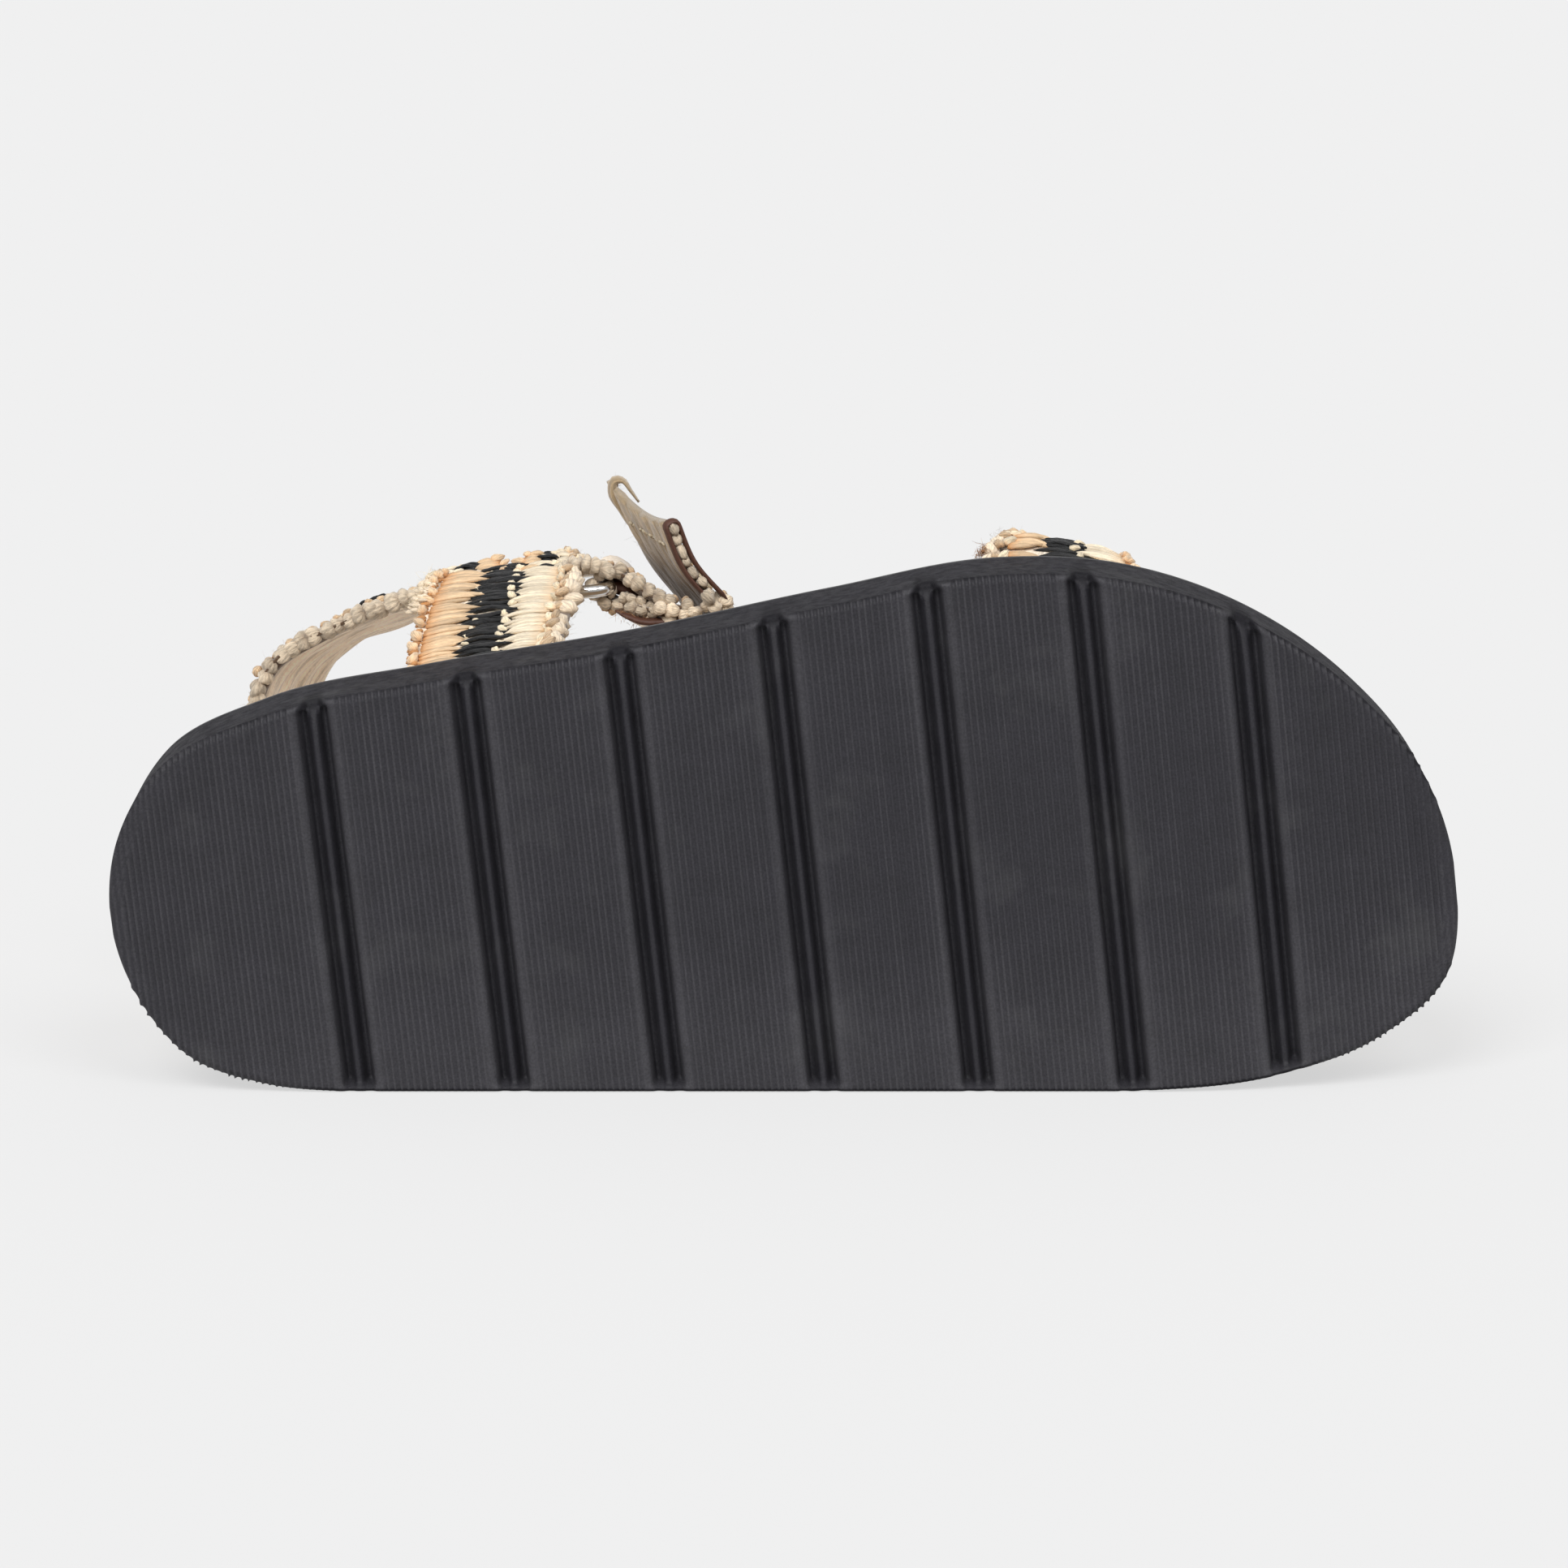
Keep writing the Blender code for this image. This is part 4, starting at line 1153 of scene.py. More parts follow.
def wall_rings(course, dip=0.0):
    """A thin wall under the weave: flat towards the good side, rounded and wrinkled on the foot's side.

    Each set of wrinkles is a sine across and along the band. The dip draws the far end in between its corners
    along half a sine.
    """
    stations = np.linspace(0, course.length, int(course.length / WALL_STEP))[:, None]
    shares = np.concatenate([WALL_RIM_SHARES, WALL_FACE_SHARES, WALL_FAR_RIM_SHARES])
    lift = smooth_step(np.minimum(shares, 1 - shares) * course.width, 0.0, WALL_EDGE_RUN)
    top = WALL_OUTER * np.sqrt(np.clip(lift, 0.05, 1)) + 0 * stations
    wrinkles = sum(
        wave.depth * np.sin(2 * math.pi * (shares * wave.across + stations / wave.along + wave.shift))
        for wave in WRINKLES
    )
    bottom = -(WALL_EDGE + (WALL_INNER - WALL_EDGE + wrinkles) * lift)
    share = np.concatenate([shares, shares[::-1]])
    drawn = smooth_step(stations, course.length - TAIL_DIP_RUN, course.length) * np.sin(math.pi * share)
    points, _ = course.at(stations - dip * drawn, share, np.concatenate([top, bottom[:, ::-1]], axis=1))
    # Painted shade on the lining beside the jute edge
    crease_shade = 1 - smooth_step(share * course.width, *CREASE_SHADE_RUN)
    return points, stations, crease_shade


class SANDAL_OT_linings(bpy.types.Operator):
    """Builds the lining walls of all bands, which stand for the upper's solids"""

    bl_idname = "sandal.linings"
    bl_label = "Build Linings"

    def execute(self, context):
        finish = lining_finish(context.scene.sandal_colours)
        replaced = set()
        for band in BANDS:
            course = COURSES[band.name]
            tailed = band.name == "ankle_strap"
            rings, stations, crease_shade = wall_rings(course, TAIL_DIP if tailed else 0.0)
            tail = smooth_step(stations, *(course.length - run for run in TAIL_TONE_RUN)) * tailed
            lit = smooth_step(stations, *(course.length - run for run in TAIL_SHADE_RUN))
            # Painted shade at the root of the free end
            shaded_root = TAIL_SHADE * tail * (1 - lit)
            values = {"tail": tail[None], "crease_shade": np.maximum(crease_shade * (1 - tail), shaded_root)[None]}
            piece = skin(band.name + "_lining", rings[None], values=values)
            node = None if band.node in replaced else band.node
            replaced.add(band.node)
            finish_piece(piece, finish, node)
        return {"FINISHED"}


def strand_piece(name, course, along, share, height, width, thickness, material, rng):
    """A piece of flattened tubes whose paths are given along, across and over a band, as [count, steps]."""
    path, normal = course.at(along, share, height)
    rings = tubes(path, normal, width, thickness, STRAND_SIDES)
    count, steps = along.shape
    values = {
        "tone": rng.random(count)[:, None, None],
        "reach": np.linspace(0, 1, steps)[None, :, None],
    }
    piece = skin(name, rings, shifts=rng.random(count) * 50, values=values)
    return finish_piece(piece, material)


def lobe_paths(course, pitch, strands, root, tip, rng):
    """Leaf-shaped bundles, one for each pitch: strands fan out from a root and close to a point.

    Each strand keeps its share of the fan, drifts with its bundle, rises along half a sine and has its own
    length.
    """
    rows = np.arange(course.start + pitch / 2, course.stop - pitch / 4, pitch)
    t = np.linspace(0, 1, STRAND_STEPS)
    strand = np.linspace(-1, 1, strands)
    fan = (0.74 + 0.34 * t) * (1 - t**2.4) + 0.04
    drift = rng.normal(0, 0.1, (len(rows), 1, 1)) * pitch
    own = rng.normal(0, 0.22, (len(rows), strands, 1))
    along = rows[:, None, None] + strand[None, :, None] * fan * pitch * 0.4 + own * (1 - t) + drift * t
    length = 1 + rng.normal(0, 0.08, (len(rows), strands, 1)) - 0.1 * np.abs(strand)[None, :, None]
    share = root + (tip - root) * t * length
    crown = np.sin(math.pi * np.clip(t * 0.92 + 0.04, 0, 1)) * (1 - 0.4 * strand[None, :, None] ** 2)
    height = 0.55 + 0.75 * crown + rng.normal(0, 0.15, (len(rows), strands, 1))
    shape = (-1, STRAND_STEPS)
    return along.reshape(shape), np.broadcast_to(share, along.shape).reshape(shape), height.reshape(shape)


def strand_taper(count, full, root_share, tip_share):
    """Width along a strand: narrower at its root, full in the middle and thin at its tip."""
    t = np.linspace(0, 1, STRAND_STEPS)
    profile = np.sin(math.pi * t) ** 0.5
    profile = profile + root_share * np.clip(1 - 4 * t, 0, 1) + tip_share * np.clip(4 * t - 3, 0, 1)
    return np.broadcast_to(full * np.minimum(profile, 1.0), (count, STRAND_STEPS))


def black_paths(course, pitch, strands, rng):
    """Black strands side by side across the middle of a band, each with a slant and a slow wave."""
    count = int((course.stop - course.start) / pitch * strands)
    t = np.linspace(0, 1, STRAND_STEPS)
    middle = np.linspace(course.start + 1.0, course.stop - 1.0, count)[:, None]
    wave = np.sin(3 * math.pi * t + rng.uniform(0, 6, (count, 1)))
    slant = rng.normal(0, 0.9, (count, 1)) * (t - 0.5)
    along = middle + rng.normal(0, 0.3, (count, 1)) + slant + rng.normal(0, 0.3, (count, 1)) * wave
    start = BLACK_START + rng.normal(0, 0.02, (count, 1))
    end = BLACK_END + rng.normal(0, 0.02, (count, 1))
    height = 0.42 + 0.45 * np.sin(math.pi * t) + rng.normal(0, 0.32, (count, 1)) + 0.12 * wave
    return along, start + (end - start) * t, height


class SANDAL_OT_raffia(bpy.types.Operator):
    """Builds the raffia stripes: two rows of natural leaf-shaped bundles with black ones between them"""

    bl_idname = "sandal.raffia"
    bl_label = "Build Raffia Stripes"

    def execute(self, context):
        sizes, colours = context.scene.sandal_sizes, context.scene.sandal_colours
        pitch = sizes.lobe_pitch / MM
        width, thickness = sizes.strand_width / MM, sizes.strand_thickness / MM
        root = tuple(colours.root)
        pale, warm, dyed = tuple(colours.natural), tuple(colours.warm), tuple(colours.black)
        pale_finish = raffia_finish("raffia_pale", pale, shade(pale, 0.78), warm, 0.42)
        warm_finish = raffia_finish("raffia_warm", warm, shade(warm, 0.74), root, 0.42)
        black = raffia_finish("raffia_black", dyed, shade(dyed, 0.55), shade(dyed, 0.8), 0.28, 0.34)
        sides = (("jute_side", JUTE_LOBE_ROOT, JUTE_LOBE_TIP), ("loop_side", LOOP_LOBE_ROOT, LOOP_LOBE_TIP))
        for number, band in enumerate(WOVEN):
            course = COURSES[band.name]
            rng = np.random.default_rng(100 + number)
            for side, start, end in sides:
                dotted = side.startswith(band.dots_side)
                finish = pale_finish if dotted else warm_finish
                closer = DOTS_PITCH_SHARE if dotted else 1.0
                paths = lobe_paths(course, pitch * closer, sizes.lobe_strands, start, end, rng)
                wide = strand_taper(len(paths[0]), width * closer, 0.65, 0.1)
                thin = strand_taper(len(paths[0]), thickness, 0.65, 0.15)
                strand_piece(f"{band.name}_raffia_{side}", course, *paths, wide, thin, finish, rng)
            paths = black_paths(course, pitch, sizes.black_strands, rng)
            wide = strand_taper(len(paths[0]), width * 0.75, 0.1, 0.1)
            thin = strand_taper(len(paths[0]), thickness * 0.9, 0.1, 0.1)
            strand_piece(f"{band.name}_raffia_black", course, *paths, wide, thin, black, rng)
        return {"FINISHED"}


def knot_piece(name, places, size, slant, finish, rng, scatter=0.15, point=0.0):
    """Rounded lumps of twisted yarn: short fat tubes with bulging twisted plies, each a little out of line.

    places holds the centres and the directions along and across at each, size is (length, width, thickness),
    slant turns the length from along towards across, and point narrows one end. The profile is half an
    ellipse, the plies follow the size of a cosine that twists along the knot, and two more cosines make it
    uneven.
    """
    centres, along, across = places
    count = len(centres)
    turn = slant + rng.normal(0, 0.3, (count, 1))
    axis = along * np.cos(turn) + across * np.sin(turn)
    normal = unit(np.cross(along, across))
    centres = centres + rng.normal(0, scatter, (count, 3))
    length, width, thickness = (part * (1 + rng.normal(0, 0.11, (count, 1))) for part in size)
    t = np.linspace(-1, 1, KNOT_STEPS)
    path = centres[:, None] + axis[:, None] * (length[:, :, None] / 2 * t[None, :, None])
    profile = np.sqrt(1 - (0.985 * t) ** 2) * (1 - point * (t + 1) / 2)
    angle = np.linspace(0, 2 * math.pi, KNOT_SIDES, endpoint=False)
    start = rng.uniform(0, 2 * math.pi, (3, count, 1, 1))
    plies = np.abs(np.cos(KNOT_PLIES / 2 * angle + 1.5 * t[None, :, None] + start[0]))
    relief = 0.34 * plies - 0.22 + 0.10 * np.cos(2 * angle + 1.3 * t[None, :, None] + start[1])
    relief = relief + 0.06 * np.cos(3 * angle - 2.4 * t[None, :, None] + start[2])
    normals = np.broadcast_to(normal[:, None], path.shape)
    rings = tubes(path, normals, width * profile, thickness * profile, KNOT_SIDES, relief)
    values = {
        "tone": rng.random(count)[:, None, None],
        "reach": np.linspace(0, 1, KNOT_STEPS)[None, :, None],
    }
    piece = skin(name, rings, shifts=rng.random(count) * 50, values=values)
    return finish_piece(piece, finish)


def knot_places(course, along, share, height):
    """Points on a band with the directions along it and across it."""
    step = 0.4
    share, height = (np.broadcast_to(value, along.shape) for value in (share, height))
    here = course.at(along, share, height)[0]
    ahead = course.at(along + step, share, height)[0] - course.at(along - step, share, height)[0]
    aside = course.at(along, share + step / course.width, height)[0] - here
    return here, unit(ahead), unit(aside)


def every(first, last, pitch, rng, scatter):
    """Places at a pitch from first to last, each moved a little."""
    places = np.arange(first + pitch / 2, last, pitch)
    return places + rng.normal(0, scatter, len(places))


class SANDAL_OT_jute_edges(bpy.types.Operator):
    """Builds the jute edges: fat knots on the edge, smaller ones over them and cream ones at the roots"""

    bl_idname = "sandal.jute_edges"
    bl_label = "Build Jute Edges"

    def execute(self, context):
        sizes, colours = context.scene.sandal_sizes, context.scene.sandal_colours
        jute = jute_finish("jute", tuple(colours.jute), tuple(colours.crease_shade))
        pale = jute_finish("jute_pale", shade(colours.jute, PALE_YARN), shade(colours.crease_shade, PALE_CREASE_SHADE))
        tan = jute_finish("jute_tan", shade(colours.warm, 0.9), tuple(colours.root))
        cream = jute_finish("cream_yarn", tuple(colours.cream), tuple(colours.root), 0.4)
        lobe = sizes.lobe_pitch / MM
        for number, band in enumerate(BANDS):
            course = COURSES[band.name]
            rng = np.random.default_rng(200 + number)
            first, last, size = course.first_knot, course.last_knot, band.size
            yarn = jute if band.name in ("ankle_strap", "ring_strap") else pale
            length = max(size, 0.95 * band.pitch) * 1.06
            places = knot_places(course, every(first, last, band.pitch, rng, 0.2), JUTE_EDGE, 0.0)
            knot_piece(f"{band.name}_jute_edge", places, (length, size, size), 0.4, yarn, rng, 0.22)
            places = knot_places(course, every(first, last, band.pitch, rng, 0.3), JUTE_EDGE + 0.035, 1.3)
            shape = (length * 0.66, size * 0.55, size * 0.55)
            knot_piece(f"{band.name}_jute_upper", places, shape, -0.6, tan, rng, 0.28)
            if band not in WOVEN:
                continue
            places = knot_places(course, every(course.start, course.stop, lobe, rng, 0.2), JUTE_SECOND, 1.0)
            knot_piece(f"{band.name}_root_knots", places, ROOT_KNOT, 0.25, cream, rng, 0.2, 0.3)
        return {"FINISHED"}


def stitch_paths(course, pitch, rng):
    """Whip stitches over the looped edge, each on a flat arc from the good side to the foot's side."""
    t = np.linspace(0, 1, STRAND_STEPS)
    turn = math.pi * (0.62 * t - 0.05)
    places = every(course.start, course.stop, pitch, rng, 0.3)
    count = len(places)
    along = places[:, None] + (t - 0.5) * rng.normal(1.4, 0.8, (count, 1))
    share = 1 - (1.9 - 1.5 * np.sin(turn) + rng.normal(0, 0.2, (count, 1))) / course.width
    return along, share, 0.75 * np.cos(turn) + rng.normal(0, 0.1, (count, 1))


class SANDAL_OT_looped_edges(bpy.types.Operator):
    """Builds the looped edges: stained whip stitches over the edge and a pale pointed knot for each bundle"""

    bl_idname = "sandal.looped_edges"
    bl_label = "Build Looped Edges"

    def execute(self, context):
        sizes, colours = context.scene.sandal_sizes, context.scene.sandal_colours
        lobe = sizes.lobe_pitch / MM
        width, thickness = sizes.strand_width / MM, sizes.strand_thickness / MM
        root, warm = tuple(colours.root), tuple(colours.warm)
        stitches = raffia_finish("raffia_stitches", root, shade(root, 0.55), shade(root, 0.7), 0.5)
        knots = jute_finish("raffia_knots", shade(warm, 1.15), root, 0.5)
        for number, band in enumerate(WOVEN):
            course = COURSES[band.name]
            rng = np.random.default_rng(300 + number)
            paths = stitch_paths(course, lobe / 3, rng)
            wide = strand_taper(len(paths[0]), width * 0.8, 0.4, 0.4)
            thin = strand_taper(len(paths[0]), thickness, 0.4, 0.4)
            strand_piece(f"{band.name}_loop_stitches", course, *paths, wide, thin, stitches, rng)
            places = knot_places(course, every(course.start, course.stop, lobe, rng, 0.3), LOOP_EDGE, 1.0)
            shape = (1.75 * band.size, 0.9 * band.size, 0.75 * band.size)
            knot_piece(f"{band.name}_loop_knots", places, shape, 0.4, knots, rng, 0.2, 0.5)
        return {"FINISHED"}


class SANDAL_OT_cream_knots(bpy.types.Operator):
    """Builds the cream knots and flecks that dot the borders of the black stripe"""

    bl_idname = "sandal.cream_knots"
    bl_label = "Build Cream Knots"

    def execute(self, context):
        sizes, colours = context.scene.sandal_sizes, context.scene.sandal_colours
        lobe = sizes.lobe_pitch / MM
        cream = jute_finish("cream_dots", tuple(colours.cream), shade(colours.cream, 0.75), 0.3)
        for number, band in enumerate(WOVEN):
            course = COURSES[band.name]
            rng = np.random.default_rng(400 + number)
            along = every(course.start + lobe / 2, course.stop - lobe / 2, lobe * DOTS_PITCH_SHARE, rng, 0.3)
            dots, flecks = JUTE_LOBE_TIP + DOTS_INSET, BLACK_END - FLECKS_INSET
            if band.dots_side == "loop":
                dots, flecks = LOOP_LOBE_TIP - DOTS_INSET, BLACK_START + FLECKS_INSET
            share = dots + rng.normal(0, 0.012, len(along))
            places = knot_places(course, along, share, 1.05)
            knot_piece(f"{band.name}_cream_knots", places, CREAM_KNOT, 0.3, cream, rng, 0.1, 0.4)
            along = along[rng.random(len(along)) < 0.7] + lobe * 0.5
            share = flecks + rng.normal(0, 0.02, len(along))
            places = knot_places(course, along, share, 0.75)
            knot_piece(f"{band.name}_cream_flecks", places, CREAM_FLECK, 0.3, cream, rng, 0.1, 0.4)
        return {"FINISHED"}


def spot_places(spots, count, across):
    """Points on a curve through spots, with the directions along it and across it."""
    here = curve_through(spots, count)
    ahead = unit(np.gradient(here, axis=0))
    return here, ahead, np.broadcast_to(across, ahead.shape)


def folded_band(rows, count, width_share, sides):
    """Rings of a soft band that stands upright on a curve: rows give its place, width and thickness."""
    path = curve_through(rows, count)[None]
    upright = np.broadcast_to(UPRIGHT, path[..., :3].shape)
    inwards = unit(np.cross(np.gradient(path[..., :3], axis=1), upright))
    return tubes(path[..., :3], inwards, path[..., 3] * width_share, path[..., 4] * width_share, sides)


def binding_rings(course):
    """Leather binding of the free end: along one face of its edge, round the end and back along the other.

    It turns over within a share of its length, bulging past the end by part of a circle, and thins out at
    both ends.
    """
    turn = np.linspace(1, -1, 81)[None]
    height = BINDING_HEIGHT * np.clip(turn / BINDING_TURN, -1, 1)
    end_loop = np.sqrt(1 - (height / BINDING_HEIGHT) ** 2)
    back = np.clip((np.abs(turn) - BINDING_TURN) / (1 - BINDING_TURN), 0, 1)
    along = course.length - BINDING_INSET - (TAIL_LENGTH + 2) * back + end_loop
    path, _ = course.at(np.minimum(along, course.length), -0.005, height)
    aside = unit(course.at(along, 0.2, height)[0] - path)
    taper = np.clip(np.cos(math.pi / 2 * turn) * 6, 0.05, 1)
    return tubes(path, aside, BINDING_THICKNESS * taper, BINDING_WIDTH * taper, 10)


class SANDAL_OT_tail_trim(bpy.types.Operator):
    """Builds the trim of the free end: leather binding, beads, root knots, stitches and the rolled corner"""

    bl_idname = "sandal.tail_trim"
    bl_label = "Build Tail Trim"

    def execute(self, context):
        colours = context.scene.sandal_colours
        course = COURSES["ankle_strap"]
        rng = np.random.default_rng(600)
        piece = skin("tail_binding", binding_rings(course))
        finish_piece(piece, leather_finish("leather_binding", colours.leather, 1800.0))

        jute = jute_finish("tail_yarn", tuple(colours.jute), tuple(colours.crease_shade))
        root = course.length - TAIL_LENGTH
        along = every(root, course.length - 0.5, TAIL_BEAD_PITCH, rng, 0.15)
        knot_piece("tail_beads", knot_places(course, along, -0.01, 0.0), TAIL_BEAD, 0.25, jute, rng, 0.1)
        along = every(root - 12, root + 3, TAIL_BEAD_PITCH, rng, 0.3)
        places = knot_places(course, along, -0.03, -1.6)
        knot_piece("tail_root_knots", places, TAIL_ROOT_KNOT, 0.6, jute, rng, 0.3)

        thread = jute_finish("tail_thread", tuple(colours.cream), tuple(colours.cream))
        seam = np.linspace(0.2, 0.8, 11)
        places = knot_places(course, np.full_like(seam, course.length - TAIL_SEAM), seam, -1.32)
        knot_piece("tail_stitches", places, TAIL_STITCH, math.pi / 2, thread, rng, 0.03)

        steps, sides = 26, 12
        end = np.sqrt(np.clip(np.linspace(0.0, 1.0, steps) * 8, 0.05, 1))
        values = {"tail": 1.0, "crease_shade": 0.0}
        piece = skin("tail_roll", folded_band(TAIL_ROLL, steps, end, sides), values=values)
        finish_piece(piece, lining_finish(colours))
        return {"FINISHED"}


class SANDAL_OT_joins(bpy.types.Operator):
    """Builds what joins the bands: leather and knots at the ring, frayed and dark strands at the heel"""

    bl_idname = "sandal.joins"
    bl_label = "Build Joins"

    def execute(self, context):
        colours = context.scene.sandal_colours
        rng = np.random.default_rng(650)
        leather = leather_finish("leather_fold", colours.leather, 1800.0)
        piece = skin("ring_strap_core", folded_band(RING_CORE, 24, 1.0, 12))
        finish_piece(piece, leather)
        hem = curve_through(RING_HEM, 24)[None]
        taper = np.sqrt(np.sin(math.pi * np.linspace(0.02, 0.98, 24)))[None]
        upright = np.broadcast_to(UPRIGHT, hem.shape)
        piece = skin("ring_strap_hem", tubes(hem, upright, 1.6 * taper, 4.0 * taper, 10))
        finish_piece(piece, leather)

        jute = jute_finish("ring_yarn", tuple(colours.jute), tuple(colours.crease_shade))
        pale_yarn, pale_crease_shade = shade(colours.jute, PALE_YARN), shade(colours.crease_shade, PALE_CREASE_SHADE)
        pale = jute_finish("ring_pale_yarn", pale_yarn, pale_crease_shade)
        frayed = jute_finish("frayed_yarn", pale_yarn, tuple(colours.jute), 0.3)
        dyed = tuple(colours.black)
        black = raffia_finish("raffia_dark_edge", dyed, shade(dyed, 0.55), shade(dyed, 0.8), 0.28, 0.34)
        groups = (
            Knots("ring_bridge_knots", RING_BRIDGE, 7, UPRIGHT, (2.8, 4.6, 3.2), 0.3, jute, 0.25),
            Knots("ring_foot_knots", RING_FOOT, 7, UPRIGHT, (3.0, 3.0, 2.6), 0.3, pale, 0.3),
            Knots("ring_fold_knots", RING_FOLD, 6, UPRIGHT, (2.6, 2.6, 2.6), 0.3, jute, 0.3),
            Knots("heel_join_knots", HEEL_JOIN, 60, TOEWARDS, (2.4, 0.9, 0.8), 0.9, frayed, 0.6),
            Knots("heel_dark_strands", HEEL_DARK, 5, UPRIGHT, (2.4, 1.0, 1.0), 0.0, black, 0.2),
        )
        for knots in groups:
            places = spot_places(knots.spots, knots.count, knots.across)
            knot_piece(knots.name, places, knots.size, knots.slant, knots.finish, rng, knots.scatter)
        return {"FINISHED"}


def fibre_piece(name, start, heading, length, radius, finish, rng):
    """Thin hairs that start at points, set off along their headings and bend and curl on the way."""
    count = len(start)
    t = np.linspace(0, 1, FIBRE_STEPS)[None, :, None]
    heading = unit(heading)[:, None]
    bend, curl = rng.normal(0, 0.5, (2, count, 1, 3))
    path = start[:, None] + length[:, None, None] * (heading * t + bend * t**2 + curl * 0.25 * np.sin(5 * t))
    radius = np.broadcast_to(radius * 2 * (1 - 0.7 * t[..., 0]), (count, FIBRE_STEPS))
    side = np.broadcast_to(unit(np.cross(heading, rng.normal(0, 1, (count, 1, 3)))), path.shape)
    values = {"tone": (0.6 + 0.4 * rng.random(count))[:, None, None], "reach": 0.5}
    rings = tubes(path, side, radius, radius, FIBRE_SIDES)
    piece = skin(name, rings, shifts=rng.random(count) * 50, values=values)
    return finish_piece(piece, finish)


def fringe_starts(fringe, rng):
    """Starts and headings of fibres at the two edges of a band: outwards, up or down, and scattered."""
    count = int((fringe.last - fringe.first) * FIBRES_PER_MM)
    place = rng.uniform(fringe.first, fringe.last, count)
    near, far = rng.uniform(-0.03, 0.13, count), rng.uniform(0.94, 1.0, count)
    share = np.where(rng.random(count) < fringe.near_share, near, far)
    start, normal = fringe.course.at(place, share, rng.uniform(-1.2, 1.5, count))
    edge = unit(fringe.course.at(place, np.where(share < 0.5, -1.0, 2.0), 0.0)[0] - start)
    heading = edge * rng.uniform(-0.2, 1, (count, 1)) + normal * rng.uniform(-0.6, 1, (count, 1))
    return start, heading + rng.normal(0, 0.7, (count, 3))


def fibre_lengths(count, usual, most, rng):
    """Lengths drawn from a gamma distribution round the usual one, cut off at the most."""
    return np.minimum(rng.gamma(LENGTH_SPREAD, usual / LENGTH_SPREAD, count), most)


class SANDAL_OT_stray_fibres(bpy.types.Operator):
    """Builds the stray fibres that stand off the edges of the bands, and the fuzz where they are frayed"""

    bl_idname = "sandal.stray_fibres"
    bl_label = "Build Stray Fibres"

    def execute(self, context):
        sizes, colours = context.scene.sandal_sizes, context.scene.sandal_colours
        usual, radius = sizes.fibre_length / MM, sizes.fibre_radius / MM
        finish = jute_finish("stray_fibre", shade(colours.jute, 1.1), tuple(colours.jute))
        fringes = [
            Fringe(f"{name}_stray_fibres", course, course.first_knot, course.last_knot, 0.85)
            for name, course in COURSES.items()
        ]
        tail = COURSES["ankle_strap"]
        fringes.append(Fringe("tail_stray_fibres", tail, tail.last_knot, tail.length, 0.0))
        for number, fringe in enumerate(fringes):
            rng = np.random.default_rng(500 + number)
            start, heading = fringe_starts(fringe, rng)
            length = fibre_lengths(len(start), usual, FIBRE_MOST, rng)
            fibre_piece(fringe.name, start, heading, length, radius, finish, rng)
        white = jute_finish("white_fibre", shade(colours.cream, 1.2), tuple(colours.cream), 0.2)
        stained = jute_finish("stained_fibre", shade(colours.root, 1.2), shade(colours.root, 0.7))
        frayed = (
            Fuzz("heel_join_fuzz", HEEL_JOIN, 500, 0.7, 1.0, white),
            Fuzz("toe_tuft_fuzz", TOE_TUFT, 240, 0.4, 0.8, stained),
            Fuzz("ring_hem_fuzz", RING_HEM[:3], 120, 0.5, 0.9, stained),
        )
        for number, fuzz in enumerate(frayed):
            rng = np.random.default_rng(700 + number)
            start = curve_through(fuzz.spots, fuzz.count) + rng.normal(0, fuzz.spread, (fuzz.count, 3))
            length = fibre_lengths(fuzz.count, fuzz.length, 2 * fuzz.length, rng)
            heading = rng.normal(0, 1, (fuzz.count, 3))
            fibre_piece(fuzz.name, start, heading, length, radius * FUZZ_SWELL, fuzz.finish, rng)
        return {"FINISHED"}


def add_floor(scene, stage):
    """A wide plain square at the height of the floor that gives a little light of its own."""
    corners = [(FLOOR_HALF * x, FLOOR_HALF * y, 0.0) for x, y in ((-1, -1), (1, -1), (1, 1), (-1, 1))]
    mesh = bpy.data.meshes.new("floor")
    mesh.from_pydata(corners, [], [(0, 1, 2, 3)])
    floor = bpy.data.objects.new("floor", mesh)
    scene.collection.objects.link(floor)
    finish = Finish(
        "floor",
        Roughness=0.9,
        Specular_IOR_Level=0.0,
        Base_Color=tuple(stage.floor),
        Emission_Color=(1.0, 1.0, 1.0, 1.0),
        Emission_Strength=stage.glow,
    )
    mesh.materials.append(finish.material)


def add_light(scene, stage):
    """Even white light all round, and soft suns that shine from their places towards the middle."""
    world = bpy.data.worlds.new("even_light")
    world.use_nodes = True
    sky = world.node_tree.nodes["Background"]
    sky.inputs["Color"].default_value = (1.0, 1.0, 1.0, 1.0)
    sky.inputs["Strength"].default_value = stage.sky
    scene.world = world
    for name, x, y, z, share in LIGHTS:
        lamp = bpy.data.lights.new(name, "SUN")
        lamp.energy = stage.sun * share
        lamp.angle = SUN_SPREAD
        light = bpy.data.objects.new(name, lamp)
        light.rotation_euler = (math.atan2(math.hypot(x, y), z), 0.0, math.atan2(x, -y))
        scene.collection.objects.link(light)


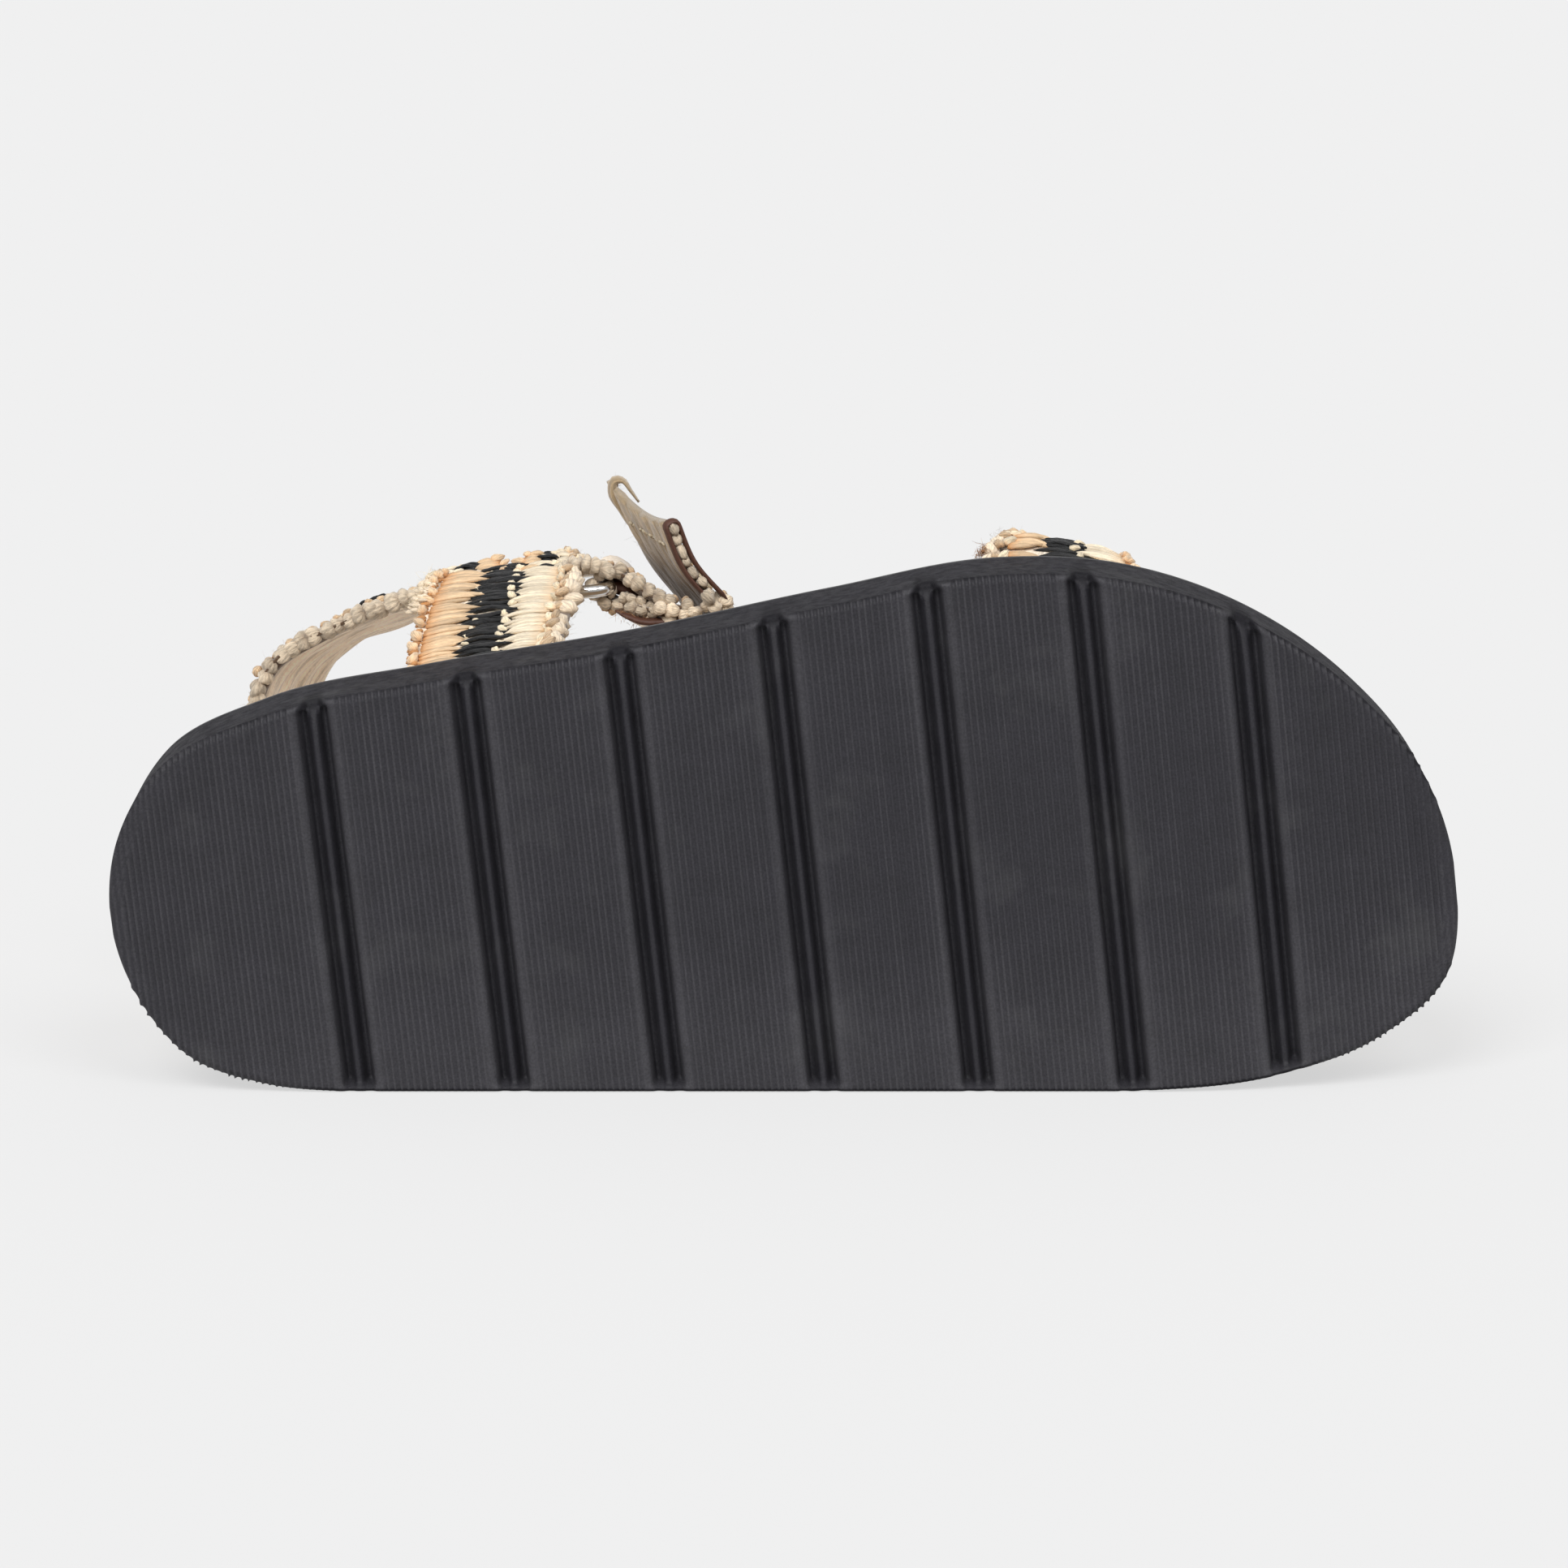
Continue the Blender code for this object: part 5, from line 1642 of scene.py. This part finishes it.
def add_camera(scene, stage):
    """A camera that stands back from its aim, higher by its tilt, and looks at the aim."""
    camera = bpy.data.objects.new("camera", bpy.data.cameras.new("camera"))
    camera.data.lens = stage.lens
    camera.data.sensor_width = SENSOR_WIDTH
    camera.rotation_euler = (math.pi / 2 - stage.tilt, 0.0, 0.0)
    back = np.array([0.0, -math.cos(stage.tilt), math.sin(stage.tilt)]) * stage.distance
    camera.location = np.array(stage.aim) + back
    scene.collection.objects.link(camera)
    scene.camera = camera


class SANDAL_OT_stage(bpy.types.Operator):
    """Sets the pale floor, the soft light and the camera"""

    bl_idname = "sandal.stage"
    bl_label = "Set Stage"

    def execute(self, context):
        scene = context.scene
        for add in (add_floor, add_light, add_camera):
            add(scene, scene.sandal_stage)
        scene.view_settings.view_transform = "Standard"
        return {"FINISHED"}


class SANDAL_PT_panel(bpy.types.Panel):
    """Lists the steps that dress the sandal"""

    bl_label = "Sandal"
    bl_idname = "SANDAL_PT_panel"
    bl_space_type = "VIEW_3D"
    bl_region_type = "UI"
    bl_category = "Sandal"

    def draw(self, context):
        for step in STEPS:
            self.layout.operator(step.bl_idname)
        for group in GROUPS:
            settings = getattr(context.scene, group)
            for key in settings.__annotations__:
                self.layout.prop(settings, key)


STEPS = (
    SANDAL_OT_stage,
    SANDAL_OT_sole,
    SANDAL_OT_footbed,
    SANDAL_OT_ring,
    SANDAL_OT_linings,
    SANDAL_OT_raffia,
    SANDAL_OT_jute_edges,
    SANDAL_OT_looped_edges,
    SANDAL_OT_cream_knots,
    SANDAL_OT_tail_trim,
    SANDAL_OT_joins,
    SANDAL_OT_stray_fibres,
)
GROUPS = {"sandal_sizes": SandalSizes, "sandal_colours": SandalColours, "sandal_stage": SandalStage}
CLASSES = (*GROUPS.values(), *STEPS, SANDAL_PT_panel)


def register():
    """Adds the classes and the scene's groups of settings."""
    for made in CLASSES:
        bpy.utils.register_class(made)
    for name, group in GROUPS.items():
        setattr(bpy.types.Scene, name, PointerProperty(type=group))


def unregister():
    """Takes away what register() adds."""
    for name in GROUPS:
        delattr(bpy.types.Scene, name)
    for made in reversed(CLASSES):
        bpy.utils.unregister_class(made)


def main():
    """Runs every step in turn."""
    register()
    for step in STEPS:
        family, name = step.bl_idname.split(".")
        getattr(getattr(bpy.ops, family), name)()


if __name__ == "__main__":
    main()
